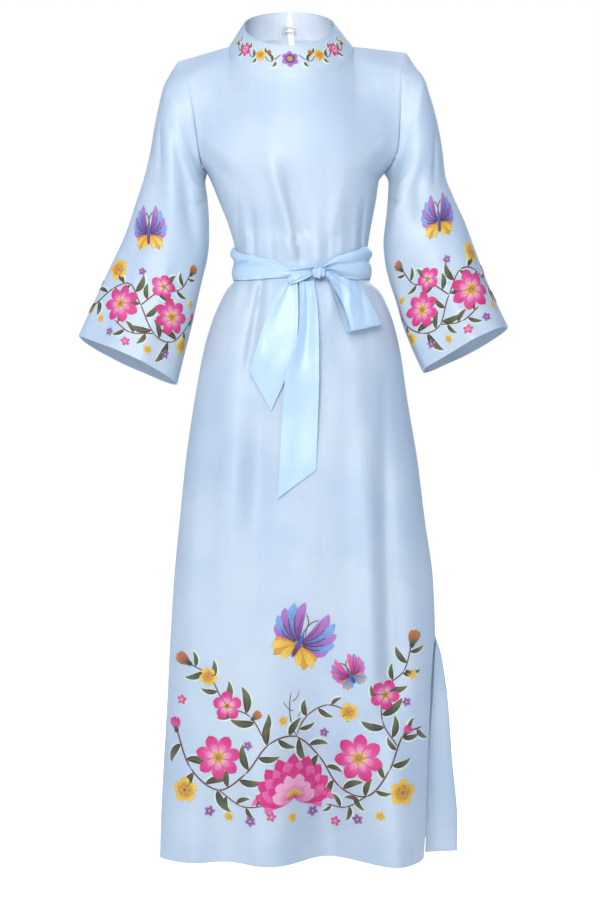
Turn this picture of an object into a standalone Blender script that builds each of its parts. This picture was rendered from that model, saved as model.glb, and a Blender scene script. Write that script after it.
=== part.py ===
"""Long tunic dress: stand collar, three-quarter bell sleeves, side slits and a sash tied in a half bow.

Metres, +Z up. The front faces -Y, and +X is on the right of someone who looks at the front. The
origin is the middle of the neck base, level with the inner ends of the shoulder seams. The cloth
keeps the form that it has when it is worn, as thin walls round an empty hollow.
"""

import bpy
import numpy as np

# Walls and seams
CLOTH_WALL = 0.0015
COLLAR_WALL = 0.0018
SEAM_GAP = 0.0003

# The armpit's height, and how a face goes up from there: out and up at its start, and back over the
# shoulder at its end, in the middle and (by the second number) more or less at the shoulder seam
ARMPIT_Z = -0.198
LEAVE_OUT = 0.026
LEAVE_UP = 1.15
REACH_BACK = (0.030, 0.120)
REACH_UP = (0.125, -0.060)
SHOULDER_FROM = 0.55
SHOULDER_OVER = 0.75
ARMHOLE_HOLD = 3

# The corners of the top edge fade out below it: a line lower down follows the edge's average over
# this share of the face at the armpit, and over less and less of it further up
CORNER_FADE = 0.34
CORNER_SAMPLES = 9

# Folds die out towards the side seams by this power of the place across the face
FOLD_HOLD = 8

# Neck: the base ellipse lies in a plane that drops to the front, and the collar leans inwards
NECK_HALF_WIDTH = 0.0992
NECK_SIDE_Z = 0.0056
NECK_FRONT = (-0.085, -0.049)
NECK_BACK = (0.072, 0.030)
COLLAR_TOP_HALF_WIDTH = 0.0725
COLLAR_TOP_MIDDLE_X = -0.003
COLLAR_TOP_SIDE_Z = 0.0416
COLLAR_TOP_FRONT = (-0.075, -0.008)
COLLAR_TOP_BACK = (0.062, 0.074)
COLLAR_BOW = 0.10

# The slit at the back of the neck: half its width, and its share of the way up from the armpit
SLIT_HALF_WIDTH = 0.0048
BACK_SLIT_SHARE = 0.42

# How finely the walls are divided
NECK_CELLS = 9
BACK_NECK_CELLS = 6
SHOULDER_CELLS = 5
ARMHOLE_CELLS = 9
SLEEVE_CELLS = 13
COLLAR_CELLS = 3


def table(names, rows):
    """One array for each named column."""
    return dict(zip(names.split(), np.array(rows, float).T))


FRONT = table(
    "z left right left_y right_y depth square",
    [
        (-1.280, -0.207, 0.210, -0.034, -0.034, 0.115, 2.7),
        (-1.232, -0.206, 0.213, -0.030, -0.032, 0.115, 2.7),
        (-1.136, -0.202, 0.217, -0.020, -0.028, 0.114, 2.6),
        (-1.040, -0.197, 0.221, -0.010, -0.022, 0.113, 2.5),
        (-0.966, -0.194, 0.226, -0.003, -0.012, 0.112, 2.4),
        (-0.930, -0.192, 0.230, 0.000, 0.000, 0.112, 2.4),
        (-0.848, -0.187, 0.227, 0.000, 0.000, 0.113, 2.3),
        (-0.752, -0.178, 0.214, 0.000, 0.000, 0.115, 2.3),
        (-0.656, -0.168, 0.202, 0.000, 0.000, 0.117, 2.2),
        (-0.560, -0.154, 0.186, 0.000, 0.000, 0.118, 2.2),
        (-0.480, -0.139, 0.174, 0.000, 0.000, 0.115, 2.2),
        (-0.432, -0.125, 0.162, 0.000, 0.000, 0.110, 2.2),
        (-0.400, -0.111, 0.149, 0.000, 0.000, 0.104, 2.2),
        (-0.384, -0.102, 0.140, 0.000, 0.000, 0.099, 2.2),
        (-0.368, -0.090, 0.124, 0.000, 0.000, 0.091, 2.2),
        (-0.342, -0.089, 0.123, 0.000, 0.000, 0.091, 2.2),
        (-0.316, -0.090, 0.123, 0.000, 0.000, 0.092, 2.2),
        (-0.300, -0.095, 0.125, 0.000, 0.000, 0.096, 2.2),
        (-0.272, -0.104, 0.130, 0.000, 0.000, 0.102, 2.3),
        (-0.240, -0.116, 0.136, 0.000, 0.000, 0.110, 2.4),
        (-0.208, -0.129, 0.141, 0.000, 0.000, 0.118, 2.4),
        (-0.198, -0.134, 0.149, 0.000, 0.000, 0.120, 2.4),
    ],
)

BACK = table(
    "z left right depth square wrap_left wrap_right",
    [
        (-1.280, -0.203, 0.266, 0.150, 2.5, 4, 43),
        (-1.232, -0.202, 0.266, 0.149, 2.5, 4, 42),
        (-1.136, -0.199, 0.258, 0.146, 2.4, 3, 37),
        (-1.040, -0.195, 0.251, 0.143, 2.4, 2, 30),
        (-0.966, -0.193, 0.240, 0.140, 2.3, 0, 19),
        (-0.930, -0.192, 0.230, 0.139, 2.3, 0, 0),
        (-0.848, -0.187, 0.227, 0.136, 2.3, 0, 0),
        (-0.752, -0.178, 0.214, 0.132, 2.3, 0, 0),
        (-0.656, -0.168, 0.202, 0.130, 2.2, 0, 0),
        (-0.560, -0.154, 0.186, 0.128, 2.2, 0, 0),
        (-0.480, -0.139, 0.174, 0.120, 2.2, 0, 0),
        (-0.432, -0.125, 0.162, 0.108, 2.2, 0, 0),
        (-0.400, -0.111, 0.149, 0.096, 2.2, 0, 0),
        (-0.384, -0.102, 0.140, 0.088, 2.2, 0, 0),
        (-0.368, -0.090, 0.124, 0.078, 2.2, 0, 0),
        (-0.342, -0.089, 0.123, 0.077, 2.2, 0, 0),
        (-0.316, -0.090, 0.123, 0.078, 2.2, 0, 0),
        (-0.300, -0.095, 0.125, 0.082, 2.2, 0, 0),
        (-0.272, -0.104, 0.130, 0.087, 2.3, 0, 0),
        (-0.240, -0.116, 0.136, 0.093, 2.4, 0, 0),
        (-0.208, -0.129, 0.141, 0.099, 2.4, 0, 0),
        (-0.198, -0.134, 0.149, 0.100, 2.4, 0, 0),
    ],
)
WRAP_DEPTH = 0.022  # how far the back's free edges reach in front of the side line

# Armholes, from the armpit (share 0) up to the shoulder tip (share 1)
ARMHOLE_RIGHT = table(
    "share x z front_y back_y",
    [
        (0.00, 0.149, -0.198, 0.000, 0.000),
        (0.12, 0.159, -0.188, -0.026, 0.024),
        (0.30, 0.170, -0.160, -0.046, 0.046),
        (0.55, 0.173, -0.108, -0.050, 0.056),
        (0.80, 0.176, -0.050, -0.037, 0.044),
        (1.00, 0.184, -0.004, 0.000, 0.000),
    ],
)
ARMHOLE_LEFT = table(
    "share x z front_y back_y",
    [
        (0.00, -0.134, -0.198, 0.000, 0.000),
        (0.12, -0.141, -0.188, -0.026, 0.024),
        (0.30, -0.147, -0.160, -0.046, 0.046),
        (0.55, -0.154, -0.108, -0.050, 0.056),
        (0.80, -0.166, -0.058, -0.037, 0.044),
        (1.00, -0.181, -0.018, 0.000, 0.000),
    ],
)

# Sleeve rings below the armhole: the outer and inner ends of each ring, its depth to the front and
# the back, how much higher its front lies, and how far its middle bows away from the body
SLEEVE_RIGHT = table(
    "ring outer_x outer_z inner_x inner_z front back rise bow",
    [
        (1, 0.206, -0.038, 0.156, -0.212, 0.055, 0.060, 0.000, 0.011),
        (2, 0.222, -0.077, 0.155, -0.236, 0.058, 0.062, 0.000, 0.008),
        (3, 0.234, -0.118, 0.153, -0.261, 0.060, 0.061, 0.001, 0.004),
        (4, 0.242, -0.160, 0.150, -0.285, 0.060, 0.059, 0.002, 0.000),
        (5, 0.247, -0.202, 0.148, -0.309, 0.060, 0.056, 0.003, 0.000),
        (6, 0.259, -0.234, 0.150, -0.336, 0.060, 0.054, 0.004, 0.000),
        (7, 0.277, -0.274, 0.157, -0.368, 0.061, 0.054, 0.005, 0.000),
        (8, 0.294, -0.320, 0.168, -0.402, 0.062, 0.055, 0.006, 0.000),
        (9, 0.312, -0.368, 0.179, -0.440, 0.063, 0.057, 0.007, 0.000),
        (10, 0.331, -0.411, 0.194, -0.478, 0.065, 0.060, 0.008, 0.000),
        (11, 0.347, -0.445, 0.211, -0.515, 0.067, 0.062, 0.009, 0.000),
    ],
)
SLEEVE_LEFT = table(
    "ring outer_x outer_z inner_x inner_z front back rise bow",
    [
        (1, -0.201, -0.054, -0.137, -0.212, 0.055, 0.060, 0.000, -0.003),
        (2, -0.211, -0.090, -0.134, -0.234, 0.058, 0.062, 0.000, -0.002),
        (3, -0.219, -0.128, -0.132, -0.256, 0.060, 0.061, 0.001, 0.000),
        (4, -0.225, -0.164, -0.131, -0.280, 0.060, 0.059, 0.002, 0.000),
        (5, -0.234, -0.202, -0.131, -0.306, 0.060, 0.056, 0.003, 0.000),
        (6, -0.248, -0.246, -0.134, -0.333, 0.060, 0.054, 0.004, 0.000),
        (7, -0.264, -0.294, -0.141, -0.363, 0.061, 0.054, 0.005, 0.000),
        (8, -0.283, -0.339, -0.149, -0.397, 0.062, 0.055, 0.006, 0.000),
        (9, -0.301, -0.381, -0.158, -0.438, 0.063, 0.057, 0.007, 0.000),
        (10, -0.320, -0.424, -0.170, -0.485, 0.065, 0.060, 0.008, 0.000),
        (11, -0.336, -0.462, -0.182, -0.534, 0.067, 0.062, 0.009, 0.000),
    ],
)

# Folds of the front, from their top to their foot: a height above 0 is a ridge, below 0 a trough
FOLD_COLUMNS = "top_x top_z foot_x foot_z top_width foot_width top_height foot_height fade_in fade_out"
FRONT_FOLDS = table(
    FOLD_COLUMNS,
    [
        # from the bust to the knot
        (-0.038, -0.165, 0.008, -0.318, 0.016, 0.011, 0.005, 0.010, 0.4, 0.12),
        (-0.006, -0.185, 0.022, -0.312, 0.010, 0.009, -0.004, -0.008, 0.4, 0.12),
        (0.088, -0.200, 0.062, -0.312, 0.014, 0.010, 0.002, 0.005, 0.4, 0.15),
        (-0.080, -0.200, -0.060, -0.312, 0.012, 0.010, -0.002, -0.005, 0.5, 0.15),
        # the cloth that the sash pushes up above the knot
        (-0.006, -0.300, -0.002, -0.345, 0.026, 0.018, 0.008, 0.004, 0.5, 0.55),
        # below the sash, left
        (-0.044, -0.372, -0.068, -0.540, 0.010, 0.016, -0.005, -0.008, 0.2, 0.5),
        (-0.088, -0.420, -0.112, -0.860, 0.020, 0.036, 0.005, 0.010, 0.3, 0.5),
        (-0.050, -0.520, -0.052, -0.800, 0.018, 0.028, -0.004, -0.010, 0.3, 0.5),
        # the long ridge and trough down the right side
        (0.100, -0.390, 0.132, -1.090, 0.020, 0.030, 0.005, 0.017, 0.3, 0.25),
        (0.132, -0.520, 0.160, -1.110, 0.014, 0.020, -0.006, -0.018, 0.4, 0.25),
        # hem waves
        (-0.046, -0.880, -0.041, -1.280, 0.045, 0.050, 0.002, 0.018, 0.6, 0.0),
        (-0.108, -1.000, -0.105, -1.280, 0.030, 0.030, -0.002, -0.020, 0.6, 0.0),
        (0.040, -0.860, 0.058, -1.280, 0.050, 0.048, -0.004, -0.068, 0.7, 0.0),
        (0.160, -1.000, 0.166, -1.280, 0.030, 0.046, 0.004, 0.044, 0.6, 0.0),
    ],
)
BACK_FOLDS = table(
    FOLD_COLUMNS,
    [
        # drape into the sash
        (-0.030, -0.170, -0.016, -0.312, 0.014, 0.010, 0.002, 0.006, 0.4, 0.10),
        (0.046, -0.190, 0.040, -0.312, 0.014, 0.010, 0.002, 0.006, 0.4, 0.10),
        (0.012, -0.220, 0.014, -0.312, 0.012, 0.010, -0.002, -0.005, 0.4, 0.10),
        # below the sash
        (-0.040, -0.375, -0.060, -0.620, 0.012, 0.022, -0.004, -0.008, 0.2, 0.5),
        (0.060, -0.375, 0.084, -0.640, 0.012, 0.022, -0.004, -0.008, 0.2, 0.5),
        # hem waves
        (-0.120, -0.760, -0.130, -1.280, 0.036, 0.044, 0.003, 0.024, 0.5, 0.0),
        (-0.040, -0.700, -0.048, -1.280, 0.036, 0.046, -0.004, -0.034, 0.5, 0.0),
        (0.046, -0.760, 0.052, -1.280, 0.036, 0.046, 0.003, 0.022, 0.5, 0.0),
        (0.130, -0.820, 0.140, -1.280, 0.032, 0.042, -0.003, -0.030, 0.5, 0.0),
    ],
)
# Folds of the sleeves: places round the ring (0 armpit, 0.5 shoulder line) and along the arm
SLEEVE_FOLDS = {
    "left": table(
        FOLD_COLUMNS,
        [
            (0.330, 0.15, 0.230, 0.62, 0.045, 0.050, 0.004, 0.009, 0.3, 0.4),
            (0.240, 0.20, 0.130, 0.60, 0.040, 0.045, -0.004, -0.009, 0.3, 0.4),
            (0.350, 0.55, 0.360, 1.00, 0.050, 0.060, -0.003, -0.009, 0.3, 0.0),
            (0.700, 0.25, 0.640, 0.85, 0.050, 0.060, 0.004, 0.008, 0.3, 0.4),
            (0.820, 0.40, 0.800, 1.00, 0.050, 0.060, -0.003, -0.009, 0.3, 0.0),
        ],
    ),
    "right": table(
        FOLD_COLUMNS,
        [
            (0.130, 0.10, 0.160, 0.50, 0.045, 0.050, 0.004, 0.008, 0.3, 0.4),
            (0.260, 0.30, 0.270, 0.62, 0.040, 0.045, -0.005, -0.009, 0.3, 0.4),
            (0.140, 0.55, 0.170, 1.00, 0.050, 0.060, -0.003, -0.008, 0.3, 0.0),
            (0.360, 0.60, 0.340, 1.00, 0.050, 0.070, 0.003, 0.008, 0.3, 0.0),
            (0.730, 0.25, 0.680, 0.85, 0.050, 0.060, 0.004, 0.008, 0.3, 0.4),
            (0.840, 0.40, 0.820, 1.00, 0.050, 0.060, -0.003, -0.009, 0.3, 0.0),
        ],
    ),
}

# Rows of the body's walls below the armpit
BODY_ROWS = (
    [-1.280, -1.232, -1.180, -1.124, -1.066, -1.006, -0.966, -0.930, -0.880, -0.820, -0.760]
    + [-0.700, -0.645, -0.590, -0.540, -0.495, -0.455, -0.424, -0.400, -0.384, -0.368]
    + [-0.342, -0.316, -0.300, -0.286, -0.264, -0.240, -0.218, -0.198]
)

# Sash: the band's upper and lower edge at places across the front, its section as clearances from
# the dress at shares of its height, and where its two ends lie behind the knot
SASH_EDGE = table(
    "x top bottom",
    [
        (-0.089, -0.3160, -0.3690),
        (-0.081, -0.3270, -0.3730),
        (-0.056, -0.3363, -0.3748),
        (-0.021, -0.3455, -0.3735),
        (0.002, -0.3550, -0.3710),
        (0.018, -0.3540, -0.3690),
        (0.034, -0.3525, -0.3664),
        (0.048, -0.3535, -0.3620),
        (0.059, -0.3460, -0.3635),
        (0.073, -0.3370, -0.3692),
        (0.097, -0.3275, -0.3738),
        (0.118, -0.3180, -0.3690),
    ],
)
SASH_TOP_Z = -0.3150
SASH_BOTTOM_Z = -0.3690
SASH_SECTION = table(
    "share out",
    [(0.00, 0.0022), (0.28, 0.0040), (0.58, 0.0023), (0.80, 0.0060), (1.00, 0.0025)],
)
SASH_ENDS = (0.038, 0.047)
SASH_END_STEP = 0.3

# Knot and the wrap beside it: half heights and half depths along each, from end to end
KNOT_ENDS = ((0.0334, -0.3655), (0.0539, -0.3640))
KNOT_HALF_HEIGHT = 0.0086
KNOT_HALF_DEPTH = 0.0078
KNOT_BACK_AHEAD = 0.0030
WRAP_ENDS = ((-0.0040, -0.3785), (0.0335, -0.3655))
WRAP_HALF_HEIGHT = (0.0075, 0.0040)
WRAP_HALF_DEPTH = (0.0042, 0.0036)
WRAP_BACK_AHEAD = 0.0052
BLOCK_SQUARE = 2.6
BLOCK_SIDES = 12
KNOT_RINGS = 7
WRAP_RINGS = 8

# Tails: left and right edges of each row, how far the row hangs in front of the skirt, and its fold
TAIL_COLUMNS = "share left_x left_z right_x right_z ahead fold"
TAIL_LEFT = table(
    TAIL_COLUMNS,
    [
        (0.00, -0.0075, -0.3760, 0.0100, -0.3755, 0.0068, 0.0000),
        (0.10, -0.0165, -0.3900, 0.0110, -0.3920, 0.0064, 0.0006),
        (0.25, -0.0300, -0.4165, 0.0120, -0.4250, 0.0055, 0.0012),
        (0.48, -0.0440, -0.4560, 0.0090, -0.4760, 0.0050, 0.0012),
        (0.74, -0.0560, -0.4930, -0.0060, -0.5250, 0.0045, 0.0008),
        (1.00, -0.0641, -0.5183, -0.0303, -0.5799, 0.0024, 0.0000),
    ],
)
TAIL_RIGHT = table(
    TAIL_COLUMNS,
    [
        (0.00, 0.0135, -0.3785, 0.0365, -0.3785, 0.0068, 0.0000),
        (0.06, 0.0140, -0.3960, 0.0385, -0.3960, 0.0090, 0.0020),
        (0.14, 0.0150, -0.4275, 0.0412, -0.4200, 0.0115, 0.0032),
        (0.30, 0.0070, -0.4830, 0.0437, -0.4760, 0.0120, 0.0034),
        (0.45, -0.0085, -0.5320, 0.0437, -0.5230, 0.0115, 0.0024),
        (0.70, -0.0149, -0.6246, 0.0415, -0.6000, 0.0070, 0.0014),
        (1.00, -0.0195, -0.7139, 0.0390, -0.6708, 0.0026, 0.0000),
    ],
)
TAIL_LEAST_AHEAD = 0.0021
TAIL_CELLS = 6
TAIL_ROWS = {"left": 10, "right": 13}
TAIL_CROWDING = 1.25

# Bow loop: its two edges from the knot to the fold, and half the space between its layers
LOOP = table(
    "share left_x left_z right_x right_z",
    [
        (0.00, 0.0544, -0.3680, 0.0556, -0.3625),
        (0.30, 0.0709, -0.3924, 0.0975, -0.3790),
        (0.65, 0.0835, -0.4219, 0.1230, -0.4090),
        (1.00, 0.0943, -0.4580, 0.1413, -0.4449),
    ],
)
LOOP_AHEAD = 0.0138
LOOP_HALF_SPACE = 0.0080
LOOP_FOLD_SHARE = 0.07
LOOP_BACK_SHIFT = 0.0080
LOOP_BACK_SHIFT_OVER = 0.4
LOOP_SWELL_START = 0.26
LOOP_SWELL_OVER = 0.75
LOOP_CELLS = 6
LOOP_FOLD_CELLS = 6
LOOP_ACROSS_CELLS = 5

# Facings: the turned bands inside the back slit
FACING_COLUMNS = (0.02, 0.44, 0.86)
FACING_WALL = 0.0010
FACING_CLEARANCE = 0.0005
FACING_FIRST_ROW = 5

# Colours, and the finishes of the two cloths: roughness and sheen
DRESS_COLOUR = (0.616, 0.745, 0.871)
SASH_COLOUR = (0.576, 0.723, 0.880)
DRESS_FINISH = (0.42, 0.25)
SASH_FINISH = (0.38, 0.25)

# End faces that meet at a seam are cut along the diagonal that this direction picks
SEAM_ORDER = np.array([0.11, 1.0, 0.37])


def between(knots, values, at):
    """A smooth curve through the values at rising knots, with no swing past them."""
    step = np.diff(knots)
    rise = np.diff(values) / step
    turn = rise[1:] * rise[:-1]
    inner = np.where(turn > 0, 2 * turn / np.where(turn > 0, rise[1:] + rise[:-1], 1), 0)
    slope = np.concatenate([rise[:1], inner, rise[-1:]])
    at = np.clip(at, knots[0], knots[-1])
    i = np.clip(np.searchsorted(knots, at, side="right") - 1, 0, len(step) - 1)
    s = (at - knots[i]) / step[i]
    return (
        values[i] * (1 + 2 * s) * (1 - s) ** 2
        + values[i + 1] * s * s * (3 - 2 * s)
        + slope[i] * step[i] * s * (1 - s) ** 2
        - slope[i + 1] * step[i] * s * s * (1 - s)
    )


def read(columns, name, at):
    """A named column of a table, as a smooth curve over the table's first column."""
    return between(next(iter(columns.values())), columns[name], at)


def ease(s):
    """0 up to s = 0, 1 from s = 1, and a soft step between."""
    s = np.clip(s, 0, 1)
    return s * s * (3 - 2 * s)


def fold_height(folds, x, z):
    """Sum of the folds at (x, z): each is a bell across its line, and fades at its ends."""
    total = np.zeros(np.broadcast(x, z).shape)
    for k in range(len(folds["top_x"])):
        fold = {name: values[k] for name, values in folds.items()}
        share = (z - fold["top_z"]) / (fold["foot_z"] - fold["top_z"])
        middle = fold["top_x"] + (fold["foot_x"] - fold["top_x"]) * share
        along = np.clip(share, 0, 1)
        width = fold["top_width"] + (fold["foot_width"] - fold["top_width"]) * along
        height = fold["top_height"] + (fold["foot_height"] - fold["top_height"]) * along
        fade = ease(share / fold["fade_in"])
        if fold["fade_out"] > 0:
            fade = fade * ease((1 - share) / fold["fade_out"])
        total += height * fade * np.exp(-(((x - middle) / width) ** 2))
    return total


def power(value, square):
    """The value to the power that makes an ellipse as square as stated, with its sign kept."""
    return np.sign(value) * np.abs(value) ** (2 / square)


def front_below(f, z):
    """Front below the armpit: a half ring, f from -1 (left side) to 1 (right side)."""
    left, right = read(FRONT, "left", z), read(FRONT, "right", z)
    square = read(FRONT, "square", z)
    turn = f * np.pi / 2
    edge = np.where(f < 0, read(FRONT, "left_y", z), read(FRONT, "right_y", z))
    x = (left + right) / 2 + (right - left) / 2 * power(np.sin(turn), square)
    y = edge - (read(FRONT, "depth", z) + edge) * power(np.cos(turn), square)
    y = y - fold_height(FRONT_FOLDS, x, z) * (1 - np.abs(f) ** FOLD_HOLD)
    return np.stack(np.broadcast_arrays(x, y, z), -1)


def back_below(f, z):
    """Back below the armpit; past the slit's top its free edges wrap forwards beyond the side."""
    left, right = read(BACK, "left", z), read(BACK, "right", z)
    square = read(BACK, "square", z)
    wrap = np.where(f < 0, read(BACK, "wrap_left", z), read(BACK, "wrap_right", z))
    turn = f * (np.pi / 2 + np.radians(wrap))
    x = (left + right) / 2 + (right - left) / 2 * power(np.sin(turn), square)
    ahead = np.where(np.cos(turn) < 0, WRAP_DEPTH, read(BACK, "depth", z))
    y = ahead * power(np.cos(turn), square)
    y = y + fold_height(BACK_FOLDS, x, z) * (1 - np.abs(f) ** FOLD_HOLD)
    return np.stack(np.broadcast_arrays(x, y, z), -1)


def armhole(side, face, share):
    """Points of one armhole's front or back half, from the armpit to the shoulder tip."""
    hole = ARMHOLE_RIGHT if side > 0 else ARMHOLE_LEFT
    columns = [read(hole, name, share) for name in ("x", face + "_y", "z")]
    return np.stack(np.broadcast_arrays(*columns), -1)


def neck_edge(turn, face):
    """Neck seam: an ellipse in a plane that tilts, turn from -90 to 90 degrees across one face."""
    y, z = NECK_FRONT if face == "front" else NECK_BACK
    x = NECK_HALF_WIDTH * np.sin(turn)
    if face == "back":
        beyond_slit = np.sqrt(NECK_HALF_WIDTH**2 - SLIT_HALF_WIDTH**2) * np.sin(turn)
        x = np.where(turn < 0, -1, 1) * np.hypot(beyond_slit, SLIT_HALF_WIDTH)
    level = NECK_SIDE_Z + (z - NECK_SIDE_Z) * np.cos(turn)
    return np.stack(np.broadcast_arrays(x, y * np.cos(turn), level), -1)


def top_edge(f, face, neck_share):
    """Top edge of a face: the neck seam in the middle and a shoulder seam to each side."""
    side = np.where(f < 0, -1, 1)
    neck = neck_edge(np.clip(f / neck_share, -1, 1) * np.pi / 2, face)
    along = np.clip((np.abs(f) - neck_share) / (1 - neck_share), 0, 1)[..., None]
    tips = np.where(side[..., None] < 0, armhole(-1, face, 1.0), armhole(1, face, 1.0))
    return neck + (tips - neck) * along


def softened_top(f, t, face, neck_share):
    """The top edge as a line at t feels it: exact at the top, averaged over its surroundings below."""
    reach = CORNER_FADE * (1 - t)
    places = [np.clip(f + reach * step, -1, 1) for step in np.linspace(-1, 1, CORNER_SAMPLES)]
    return sum(top_edge(place, face, neck_share) for place in places) / CORNER_SAMPLES


def above(f, t, face, neck_share):
    """A face above the armpit: curves from the ring at the armpit to the top edge, t from 0 to 1.

    Each curve leaves the ring upright and reaches the top edge leaning back over the shoulder, and
    near the sides the surface is drawn to the armhole.
    """
    f, t = np.broadcast_arrays(f, t)
    below = front_below if face == "front" else back_below
    start = below(f, np.full(f.shape, ARMPIT_Z))
    end = softened_top(f, t, face, neck_share)
    away = -1.0 if face == "front" else 1.0
    shoulder = ease((np.abs(f) - SHOULDER_FROM * neck_share) / (SHOULDER_OVER * neck_share))
    rise = (end - start)[..., 2]
    leave = np.stack([0 * f, away * LEAVE_OUT * (1 - np.abs(f)), LEAVE_UP * rise], -1)
    reach_y = -away * (REACH_BACK[0] + REACH_BACK[1] * shoulder)
    reach_z = REACH_UP[0] + REACH_UP[1] * shoulder
    reach = np.stack([0 * f, reach_y, reach_z], -1)
    s = t[..., None]

    def curve(first, last, slope_first, slope_last):
        return (
            first * (1 + 2 * s) * (1 - s) ** 2
            + last * s * s * (3 - 2 * s)
            + slope_first * s * (1 - s) ** 2
            - slope_last * s * s * (1 - s)
        )

    points = curve(start, end, leave, reach)
    side = np.where(f < 0, -1.0, 1.0)
    edge_start = below(side, np.full(f.shape, ARMPIT_Z))
    edge_end = softened_top(side, t, face, neck_share)
    edge_rise = (edge_end - edge_start)[..., 2]
    edge_leave = np.stack([0 * f, 0 * f, LEAVE_UP * edge_rise], -1)
    edge_reach = np.stack([0 * f, -away * sum(REACH_BACK) + 0 * f, sum(REACH_UP) + 0 * f], -1)
    plain_edge = curve(edge_start, edge_end, edge_leave, edge_reach)
    real_edge = np.where(side[..., None] < 0, armhole(-1, face, t), armhole(1, face, t))
    points = points + (real_edge - plain_edge) * np.abs(f)[..., None] ** ARMHOLE_HOLD
    if face == "front":
        folds = fold_height(FRONT_FOLDS, points[..., 0], points[..., 2])
        at_ring = fold_height(FRONT_FOLDS, start[..., 0], start[..., 2])
        points[..., 1] -= (folds - at_ring * (1 - t)) * (1 - np.abs(f) ** FOLD_HOLD)
    return points


def face_grid(f, face, neck_share):
    """A whole face from hem to shoulders: rows go up, columns follow f."""
    rows = np.array(BODY_ROWS)[:, None]
    shares = (np.arange(1, ARMHOLE_CELLS + 1) / ARMHOLE_CELLS)[:, None]
    below = front_below if face == "front" else back_below
    low = below(f[None, :] + 0 * rows, rows + 0 * f[None, :])
    high = above(f[None, :], shares, face, neck_share)
    return np.concatenate([low, high])


def back_half(side):
    """One back panel: from its side seam to the middle, with the neck slit open at the top."""
    cells = BACK_NECK_CELLS + SHOULDER_CELLS
    f = side * (np.arange(cells + 1) / cells)
    grid = face_grid(f, "back", BACK_NECK_CELLS / cells)
    share = np.clip(np.arange(len(grid)) - len(BODY_ROWS) + 1, 0, None) / ARMHOLE_CELLS
    open_by = SLIT_HALF_WIDTH * ease((share - 1 + BACK_SLIT_SHARE) / BACK_SLIT_SHARE)
    middle = grid[:, 0, 0] * 0
    low = len(BODY_ROWS) - 1
    middle[: low + 1] = grid[: low + 1, 0, 0]
    middle[low:] = grid[low, 0, 0] * (1 - share[low:])
    grid[:, 0, 0] = middle + side * open_by
    return grid if side < 0 else grid[:, ::-1]


def sleeve(side):
    """A sleeve: the armhole's own points, then elliptical rings down to the cuff."""
    rings = SLEEVE_RIGHT if side > 0 else SLEEVE_LEFT
    share = np.arange(ARMHOLE_CELLS + 1) / ARMHOLE_CELLS
    hole = np.concatenate([armhole(side, "front", share), armhole(side, "back", share[-2:0:-1])])
    t = np.concatenate([share, share[-2:0:-1]])
    face = np.where(np.arange(len(t)) <= ARMHOLE_CELLS, -1.0, 1.0)
    across = (1 - np.cos(np.pi * t)) / 2
    bulge = np.sin(np.pi * t)
    loops = [hole]
    for k in range(len(rings["ring"])):
        ring = {name: values[k] for name, values in rings.items()}
        depth = np.where(face < 0, ring["front"], ring["back"])
        x = ring["inner_x"] + (ring["outer_x"] - ring["inner_x"]) * across + ring["bow"] * bulge
        z = ring["inner_z"] + (ring["outer_z"] - ring["inner_z"]) * across
        z = z - face * ring["rise"] * bulge
        loops.append(np.stack([x, face * depth * bulge, z], -1))
    loops = np.array(loops)
    knots = np.arange(len(loops), dtype=float)
    along = np.linspace(0, 1, SLEEVE_CELLS + 1)
    grid = np.empty((len(along), len(t), 3))
    for j in range(len(t)):
        for axis in range(3):
            grid[:, j, axis] = between(knots, loops[:, j, axis], along * knots[-1])
    middle = grid.mean(axis=1, keepdims=True)
    outward = grid - middle
    outward = outward / np.linalg.norm(outward, axis=-1, keepdims=True)
    place = (np.arange(len(t)) / len(t))[None, :]
    folds = SLEEVE_FOLDS["right" if side > 0 else "left"]
    height = fold_height(folds, place, along[:, None] + 0 * place)
    return grid + outward * (height * ease(along * 6)[:, None])[..., None]


def collar():
    """Stand collar: from the left of the back slit, round the front, to the slit's right."""
    quarter = np.pi / 2
    back = quarter * np.arange(BACK_NECK_CELLS + 1) / BACK_NECK_CELLS
    front = quarter * np.arange(-NECK_CELLS, NECK_CELLS + 1) / NECK_CELLS
    rows = []
    for share in np.arange(COLLAR_CELLS + 1) / COLLAR_CELLS:
        pieces = []
        for turn, face in ((-back, "back"), (front, "front"), (back[::-1], "back")):
            base = neck_edge(turn, face)
            if face == "back":
                base[..., 0] = np.sign(turn.sum()) * np.abs(base[..., 0])
            y, z = COLLAR_TOP_FRONT if face == "front" else COLLAR_TOP_BACK
            top_x = COLLAR_TOP_MIDDLE_X + COLLAR_TOP_HALF_WIDTH * np.sin(turn)
            if face == "back":
                gap = np.maximum(np.abs(COLLAR_TOP_HALF_WIDTH * np.sin(turn)), SLIT_HALF_WIDTH)
                top_x = COLLAR_TOP_MIDDLE_X + np.sign(turn.sum()) * gap
            top_z = COLLAR_TOP_SIDE_Z + (z - COLLAR_TOP_SIDE_Z) * np.cos(turn)
            top = np.stack([top_x, y * np.cos(turn), top_z], -1)
            lean = share + COLLAR_BOW * np.sin(np.pi * share)
            pieces.append(base + (top - base) * lean)
        rows.append(np.concatenate([pieces[0], pieces[1][1:-1], pieces[2]]))
    return np.array(rows)


def grid_steps(grid, closed):
    """Steps along the columns and along the rows at each point of a grid."""
    if closed:
        across = np.roll(grid, -1, axis=1) - np.roll(grid, 1, axis=1)
    else:
        across = np.gradient(grid, axis=1)
    return across, np.gradient(grid, axis=0)


def unit(vectors):
    """The vectors at length 1."""
    return vectors / np.maximum(np.linalg.norm(vectors, axis=-1, keepdims=True), 1e-12)


def normals_of(grid, closed, turned):
    """Directions out of the cloth at each point of a grid."""
    across, along = grid_steps(grid, closed)
    normal = unit(np.cross(across, along))
    return -normal if turned else normal


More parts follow.
